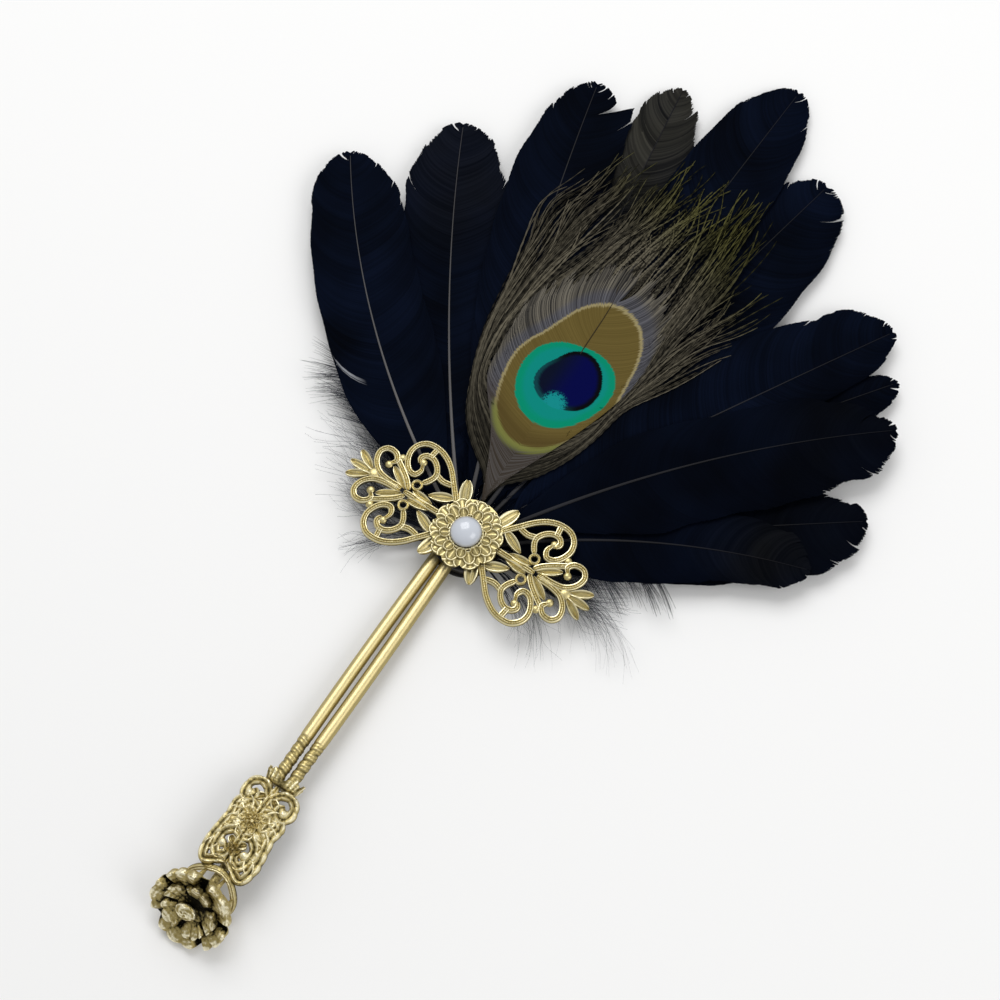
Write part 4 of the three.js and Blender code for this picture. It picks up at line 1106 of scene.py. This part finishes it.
# From the outside in: how much of each colour covers what lies under it
for share, colour in (
        ((37.0 - y_mm).step(0.0, 12.0) * 0.75, foot_grey),
        ((1.04 - bronze_at).step(0.0, 0.03), tint(142, 131, 94)),
        (glow * 0.8, tint(136, 146, 70)),
        ((1.0 - bronze_at).step(0.0, 0.035), bronze),
        (shade * 0.45, tint(62, 48, 24)),
        (shade * (1.05 - teal_at).step(0.0, 0.05), tint(34, 40, 24)),
        ((0.99 - teal_at).step(0.0, 0.03), tint(2, 132, 102)),
        ((0.9 - teal_at).step(0.0, 0.14) * 0.7, tint(10, 128, 126)),
        ((1.02 - heart_at).step(0.0, 0.04), dark_rim),
        ((0.93 - heart_at).step(0.0, 0.14), deep),
        (sparkle * (1.04 - heart_at).step(0.0, 0.03), tint(16, 132, 132))):
    eye = peacock.blend(share, eye, colour)
olive = peacock.blend(tone, tint(22, 22, 14), tint(100, 98, 56))
greened = (x_mm * 0.35 + y_mm - 96.0).step(0.0, 30.0)
shadowed = (66.0 - y_mm).step(0.0, 45.0) * 0.7
herl_colour = peacock.blend(shadowed, peacock.blend(greened, grey, olive), tint(20, 19, 16))
colour = peacock.blend(peacock.value("herl"), eye, herl_colour)
peacock.set("Base Color", peacock.blend(peacock.value("shaft"), colour, tint(52, 45, 32)))


def eye_barbs(random, edge_shares, side):
    """Barbs from the rachis to the eye's edge and a little past it.

    Each is a quadratic curve that leaves the rachis steeply and turns towards the top, and ends
    in a loose tip that leans up along the feather.
    """
    count = eye_barbs_a_side
    end = curve(np.array(edge_shares) * peacock_length, count)
    rachis = curve(np.array(rachis_shares) * peacock_length, 400)
    start_y = np.interp(np.linspace(0, 1, count), [0, 0.5, 1],
                        np.array([0.13, 0.49, 0.875]) * peacock_length)
    start = np.stack([np.interp(start_y, rachis[:, 1], rachis[:, 0]), start_y], -1)
    start = start - [side * eye_barb_overlap, 0.0]
    away = end - start
    bend = start + away * [0.86, 0.42]
    q = np.linspace(0, 1, 12)
    line, _ = bezier(start[:, None], bend[:, None], end[:, None], q)
    way = unit(unit(end - bend) + [side * 0.16, 0.9])
    high = ramp(end[:, 1] / peacock_length, 0.35, 0.75)
    clump, members = clumps(random, count, 3, 9)
    longest = loose_tip_length + loose_tip_growth * high
    reach = random.uniform(0.3, 1.0, members)[clump] * longest
    reach = reach * random.uniform(0.6, 1.0, count)
    t = np.linspace(0, 1, 8)[1:]
    tips = end[:, None] + way[:, None] * (reach[:, None] * t)[..., None]
    line = np.concatenate([line, tips], 1)
    q = np.concatenate([q, 1 + t])
    rise = eye_barb_height + eye_barb_arch * np.sin(np.pi * ramp(q, 0, 1))
    rise = rise - loose_tip_drop * ramp(q, 1, 2)
    height = eye_level + dome(line) + rise
    half = eye_barb_half_width * (1 - 0.8 * ramp(q, 0.9, 2))
    points = ribbons(line, height, half, eye_barb_thickness, 0.03 * side)
    return skin(points, tone=random.random(count)[:, None, None])


def flow(across, along):
    """A point of the loose herls' flow: across from -1 at the left edge to 1 at the right, and
    along from 0 at the quill to 1 at the trimmed tips."""
    lines = np.array([curve(line, 120) for line in flow_shares * peacock_length])
    column = (across + 1) / 2 * (len(lines) - 1)
    row = along * 119
    left = np.clip(column.astype(int), 0, len(lines) - 2)
    low = np.clip(row.astype(int), 0, 118)
    u, v = (column - left)[..., None], (row - low)[..., None]
    near = lines[left, low] * (1 - v) + lines[left, low + 1] * v
    far = lines[left + 1, low] * (1 - v) + lines[left + 1, low + 1] * v
    return near * (1 - u) + far * u


def herls(random):
    """Loose herls: each leaves the rachis, joins the flow at its own place across, leans more
    and more towards the middle of its clump, and sways by a sine. Each second station is
    narrower, which gives the ragged edge of its barbules."""
    flank = 1 - 0.26 * random.random(left_herls + right_herls) ** 1.2
    inner = random.uniform(-0.8, 0.8, inner_herls)
    across = np.sort(np.concatenate([-flank[:left_herls], flank[left_herls:], inner]))
    count = len(across)
    stations = 60
    clump, members = clumps(random, count, 2, 8)
    middle = clump_means(across, clump) + random.normal(0, 0.03, members)
    start = np.interp(np.abs(across), [0, 0.5, 0.75, 1], [0.6, 0.24, 0.06, 0.0])
    stop = random.uniform(0.86, 1.0, members)[clump] - 0.2 * random.random(count) ** 1.5
    stop = stop - 0.12 * ramp(across, 0.55, 0.85) * (random.random(count) < 0.8)
    q = np.linspace(0, 1, stations)
    along = start[:, None] + (stop - start)[:, None] * q
    spread = 1 - (1 - ramp(q, 0, 0.3)) ** 2
    free = along - 0.35 - 0.27 * (np.abs(across) < 0.72)[:, None]
    lean = 0.66 * ramp(free, 0, 0.35) * (1 - 0.6 * ramp(along, 0.8, 1))
    place = across[:, None] + (middle[clump] - across)[:, None] * lean
    line = flow(np.clip(place * spread, -1, 1), along)
    phase = random.uniform(0, 2 * np.pi, (members, 1))[clump]
    own = random.uniform(0, 2 * np.pi, (count, 1))
    sway = herl_clump_sway * q ** 2 * np.sin(phase + q * 6)
    sway = sway + herl_sway * q ** 3 * np.sin(own + q * 7)
    line = line + sway[..., None] * np.array([1.0, 0.25])
    lift = random.uniform(*herl_lift, count)[:, None] * (0.3 + 0.7 * q)
    height = eye_level + dome(line) - herl_sink + lift
    every_other = np.cos(np.pi * np.arange(stations))
    fringe = 0.8 + 0.2 * every_other * ramp(q, 0, 1 / 6)
    half = herl_half_width * (1 - 0.6 * q ** 2) * fringe * random.uniform(0.6, 1.1, count)[:, None]
    points = ribbons(line, height, half, herl_thickness, 0.1)
    tone = random.random(count)[:, None] ** 1.3 * 0.9 + 0.1 * every_other
    return skin(points, herl=1.0, tone=tone[..., None])


def peacock_shaft():
    """The rachis lies under the barbs up to the heart, and comes up between them above it."""
    share = np.linspace(0, 1, 80)
    line = curve(np.array(rachis_shares) * peacock_length, 80)
    radius = peacock_tip_radius + (peacock_quill_radius - peacock_tip_radius) * (1 - share) ** 2
    out = rachis_rise * ramp(share, 0.66, 0.74)
    return skin(shaft(line, eye_level + dome(line) - radius + out, radius), shaft=1.0)


peacock_random = np.random.default_rng(7)
peacock_feather = piece("peacock_plume", [
    eye_barbs(peacock_random, eye_left_shares, -1),
    eye_barbs(peacock_random, eye_right_shares, 1),
    herls(peacock_random), peacock_shaft()], peacock, sharp=40)
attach(peacock_feather, "root")
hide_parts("peacock_feather")


# Down tufts. Soft black marabou wisps, glued under the feathers on both sides of the plate.
# They thin out to single hairs that curl every way.
down_length = 0.056
down_level = 0.0021
down_hair_half_width = 0.00007
down_hair_thickness = 0.00012
down_hair_lift = (-0.0006, 0.0004)

down = Look("marabou_down", Roughness=0.8, Specular_IOR_Level=0.05)
down.set("Base Color", down.blend(down.value("tone"), tint(14, 15, 20), tint(74, 80, 92)))


def down_tuft(seed, turns, reaches, count):
    """Hairs in clumps, each bowed by a share of its length and tapered to nothing."""
    random = np.random.default_rng(seed)
    clump, members = clumps(random, count, 12, 34)
    middle = np.sort(random.uniform(0, 1, members))[clump]
    place = np.clip(middle + random.normal(0, 0.016, count), 0, 1)
    turn = turns[0] + (turns[1] - turns[0]) * place
    reach = down_length * np.interp(place, np.linspace(0, 1, len(reaches)), reaches)
    reach = reach * (0.55 + 0.45 * random.random(count) ** 0.6)
    q = np.linspace(0, 1, 16)
    bend = random.normal(0, 4, count) + random.normal(0, 12, members)[clump]
    wave = random.normal(0, 2.5, count)[:, None] * np.sin(q * 9 + random.uniform(0, 6, (count, 1)))
    start = pad_radius * 1.03
    along = start + (reach - start)[:, None] * q
    line = polar(along, turn[:, None] + bend[:, None] * q ** 2 + wave * q)
    height = down_level + random.uniform(*down_hair_lift, count)[:, None] * (0.3 + 0.7 * q)
    half = down_hair_half_width * (1 - 0.85 * q)
    points = ribbons(line, height, half, down_hair_thickness)
    tone = 0.2 + 0.5 * random.random(count)[:, None] + 0.3 * q
    return skin(points, tone=tone[..., None])


for word, seed, turns, reaches, count in (
        ("left", 3, (-122, -58), [0.66, 0.72, 0.84, 0.98, 1.12, 1.2], 420),
        ("right", 5, (72, 112), [1.12, 0.98, 0.86, 0.76, 0.7], 260)):
    tuft = piece(f"down_wisps_{word}", [down_tuft(seed, turns, reaches, count)], down)
    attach(tuft, "root")
    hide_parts(f"down_tuft_{word}")


# Front felt pad. The twin of the back pad lies on the glue, under the plate. Its black edge
# shows between the plate and the rods.
glue_bottom = pad_thickness + fit_gap
glue_thickness = 0.0051
front_pad_bottom = glue_bottom + glue_thickness + fit_gap
front_pad = felt_pad("felt_disc_front", front_pad_bottom)
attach(front_pad, "root")
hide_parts("front_felt_pad")


# Filigree plate. A stamped connector of pale gilt brass: each quarter mirrors the next. Its
# wires are railed and beaded, and its two wings are bent down to follow the fan.
plate_bottom = front_pad_bottom + pad_thickness + fit_gap
plate_reach = 0.040
plate_rise = 0.016
plate_wire = 0.0019
plate_thickness = 0.00115
plate_disc_radius = 0.0096
plate_sag = 0.0015
plate_offset = 0.0012
plate_turn = np.radians(1.2)
plate_lines = [
    ([[0.17, 0.24], [0.225, 0.42], [0.29, 0.61], [0.355, 0.79], [0.43, 0.93], [0.51, 1],
      [0.6, 0.99], [0.66, 0.87], [0.68, 0.69], [0.655, 0.5], [0.61, 0.385], [0.56, 0.37],
      [0.535, 0.48], [0.55, 0.6]], 200),
    ([[0.575, 0.6], [0.59, 0.7], [0.56, 0.785], [0.51, 0.79], [0.46, 0.71], [0.427, 0.575],
      [0.437, 0.44], [0.478, 0.285]], 90),
    ([[0.425, 0.575], [0.36, 0.53], [0.285, 0.56]], 26),
    ([[0.58, 0.03], [0.7, 0.035], [0.79, 0.09], [0.85, 0.24], [0.865, 0.42], [0.825, 0.54],
      [0.76, 0.53], [0.725, 0.42], [0.75, 0.32]], 120),
    ([[0.725, 0.45], [0.65, 0.33], [0.58, 0.2], [0.53, 0.06]], 50),
    ([[0.535, 0.8], [0.525, 0.985]], 14)]
plate_bar_shares = [[0.2, 0], [0.35, 0], [0.55, 0]]
plate_leaf_shares = [([0.39, 0.17], [0.22, 0.37], 0.08), ([0.56, 0.05], [0.715, 0.3], 0.062),
                     ([0.13, 0.3], [0.215, 0.8], 0.105), ([0.83, 0.04], [0.985, 0.26], 0.068),
                     ([0.33, 0.06], [0.5, 0.1], 0.06)]
lotus_shares = ([0.8, 0], [1.01, 0], 0.068)
lotus_foot_share = [0.812, 0]
lotus_foot_radius = plate_reach * 0.044
eyelet_share = [0.4975, 0.22]
eyelet_radius = plate_reach * 0.033
eyelet_half_width = plate_reach * 0.013
plate_bulb_shares = [[0.557, 0.64], [0.757, 0.29], [0.703, 0.52]]
bulb_radius = plate_reach * 0.03
bulb_height = plate_thickness * 0.9
seat_height = plate_thickness * 0.8


def on_plate(points):
    """Bends the wings down by the square of the way past the pads, and sets the plate."""
    wing = np.maximum(0, np.abs(points[..., 0]) - pad_radius) / (plate_reach - pad_radius)
    bent = points.copy()
    bent[..., 2] -= plate_sag * wing ** 2
    return turned(bent, 2, plate_turn) + [0, plate_offset, plate_bottom]


def eyelet(centre):
    """A small ring with a grooved face, as a closed run of sections."""
    ring = circle(28)
    line = lifted(ring * eyelet_radius + centre)[None]
    section = mirrored([[1, 0], [1, 0.6], [0.5, 1], [0, 0.8]])
    points = tubes(line, lifted(ring) * eyelet_half_width, [0, 0, plate_thickness], section)
    return skin(on_plate(points), closed=True, ridge=[0, 0.6, 1, 0.4, 1, 0.5, 0])


def filigree():
    """One quadrant's wires, leaves, bulbs and eyelet, mirrored twice, and what lies between:
    the middle wires, a lotus leaf with its foot at each end, and the flower's seat."""
    made, eyelets = [], []
    for right, up in ((1, 1), (-1, 1), (-1, -1), (1, -1)):
        scale = np.array([plate_reach * right, plate_rise * up])
        made += [wire(curve(shares * scale, count), plate_wire, plate_thickness)
                 for shares, count in plate_lines]
        made += [leaf(start * scale, end * scale, plate_reach * width, plate_thickness * 1.05)
                 for start, end, width in plate_leaf_shares]
        made += [(bulb(place * scale, bulb_radius, bulb_height * 0.3, bulb_height, 8, 20), 0.5)
                 for place in plate_bulb_shares]
        eyelets.append(eyelet(eyelet_share * scale))
    for right in (1, -1):
        scale = np.array([plate_reach * right, plate_rise])
        made.append(wire(curve(plate_bar_shares * scale, 60), plate_wire, plate_thickness))
        start, end, width = lotus_shares
        made.append(leaf(start * scale, end * scale, plate_reach * width, plate_thickness))
        foot = bulb(lotus_foot_share * scale, lotus_foot_radius, bulb_height * 0.3, bulb_height,
                    8, 20)
        made.append((foot, 0.5))
    seat = disc([0, plate_disc_radius, plate_disc_radius, 0], [0, 0, seat_height, seat_height],
                96)
    made.append((seat, 0.5))
    return eyelets + [skin(on_plate(points), ridge=worn) for points, worn in made]


plate = piece("filigree_stamping", filigree(), gilt, sharp=60)
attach(plate, "root")
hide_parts("filigree_plate")


# Flower cap. A bloom of four rows of outlined petals, stamped from pale gilt brass and glued
# to the plate. A beaded rope rings its level seat for the pearl.
flower_bottom = plate_bottom + plate_thickness + fit_gap
flower_radius = 0.0107
flower_thickness = 0.0017
flower_rows = [(9, 0.56, 0.17, 0.15, 0.95, 0.2), (9, 0.68, 0.2, 0.17, 0.78, 0.2 + np.pi / 9),
               (10, 0.79, 0.21, 0.2, 0.55, 0.1), (10, 0.84, 0.16, 0.2, 0.4, 0.1 + np.pi / 10)]
rope_radius = 0.00475
rope_thickness = 0.0007
rope_beads = 30


def rope():
    """A beaded ring round the pearl's foot: a closed tube that swells at every bead."""
    ring = circle(240)
    line = lifted(ring * rope_radius, flower_bottom + flower_thickness * 0.7)[None]
    swell = 0.7 + 0.3 * np.abs(np.sin(angles(240) * rope_beads / 2))[:, None]
    half = rope_thickness / 2
    points = tubes(line, lifted(ring) * half, [0, 0, half], circle(10) * swell[..., None])
    return skin(points, closed=True, ridge=swell * 1.6 - 0.65)


points, worn = flower_disc(flower_radius, flower_thickness, flower_rows, 90, 320, 0.42, 0.86)
stamping = skin(points + [0, 0, flower_bottom], ridge=worn ** 1.3 * 0.92)
flower = piece("flower_stamping", [stamping, rope()], gilt, sharp=70)
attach(flower, "root")
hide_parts("flower_cap")


# Half-round pearl. A moulded pearl cabochon, glued to the flower's seat. Its colour is bluish
# white where it faces the camera and warm grey towards its rim: a painted reflection and shade.
pearl_radius = 0.0045
pearl_height = 0.004
pearl_bottom = flower_bottom + flower_thickness * 0.62 + fit_gap
undercut = -0.35
rise = np.linspace(undercut, np.pi / 2, 40)
share = (np.sin(rise) - np.sin(undercut)) / (1 - np.sin(undercut))
points = disc([0, *(pearl_radius * np.cos(rise))], [0, *(pearl_height * share)], 96)
nacre = Look("nacre", Roughness=0.22, Coat_Weight=0.7, Coat_Roughness=0.08)
# Painted reflection and shade: bluish white where the surface faces the camera, warm grey where it
# turns away.
across = nacre.node("ShaderNodeLayerWeight", {}, {"Blend": 0.35}, "Facing")
nacre.set("Base Color", nacre.blend(across.step(0.15, 0.9), tint(198, 203, 212),
                                    tint(136, 130, 126)))
pearl = piece("half_pearl", [skin(points + [0, 0, pearl_bottom])], nacre)
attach(pearl, "root")
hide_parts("pearl")


# Floor, light and camera. A plain pale floor under a large soft window from the upper left,
# a weaker one from the right, and an even fill all round.
floor_half = 3.0
floor_level = -0.0002
floor_thickness = 0.01
floor_look = Look("pale_floor", Roughness=0.9, Specular_IOR_Level=0.1)
floor_look.set("Base Color", tint(244, 244, 244))
corners = np.array([[-1, -1], [1, -1], [1, 1], [-1, 1]]) * floor_half
levels = [[floor_level - floor_thickness], [floor_level]]
floor_points = lifted(np.stack([corners, corners]), levels)[None]
floor = piece("studio_floor", [skin(floor_points)], floor_look, sharp=30)

for name, place, size, power in (("window", (-0.5, 0.55, 1.1), 0.9, 9.0),
                                 ("second_window", (0.9, 0.1, 0.9), 0.7, 3.5)):
    lamp = bpy.data.lights.new(name, "AREA")
    lamp.energy = power
    lamp.size = size
    light = placed(name, lamp)
    light.location = place
    light.rotation_euler = Vector(place).to_track_quat("Z", "Y").to_euler()

world = bpy.data.worlds.new("soft studio")
bpy.context.scene.world = world
world.use_nodes = True
world.node_tree.nodes["Background"].inputs["Color"].default_value = tint(250, 250, 249)
world.node_tree.nodes["Background"].inputs["Strength"].default_value = 0.555

azimuth, elevation = np.radians(34.7), np.radians(71)
camera_place = [0.125703, -0.164792, 0.640354]
back = [np.sin(azimuth) * np.cos(elevation), -np.cos(azimuth) * np.cos(elevation),
        np.sin(elevation)]
right = [np.cos(azimuth), np.sin(azimuth), 0.0]
camera_data = bpy.data.cameras.new("camera")
camera_data.lens = 85
camera_data.sensor_width = 36
camera_data.clip_start = 0.01
camera = placed("camera", camera_data)
axes = np.eye(4)
axes[:3] = np.stack([right, np.cross(back, right), back, camera_place], -1)
camera.matrix_world = Matrix(axes.tolist())
bpy.context.scene.camera = camera
bpy.context.scene.view_settings.view_transform = "Standard"
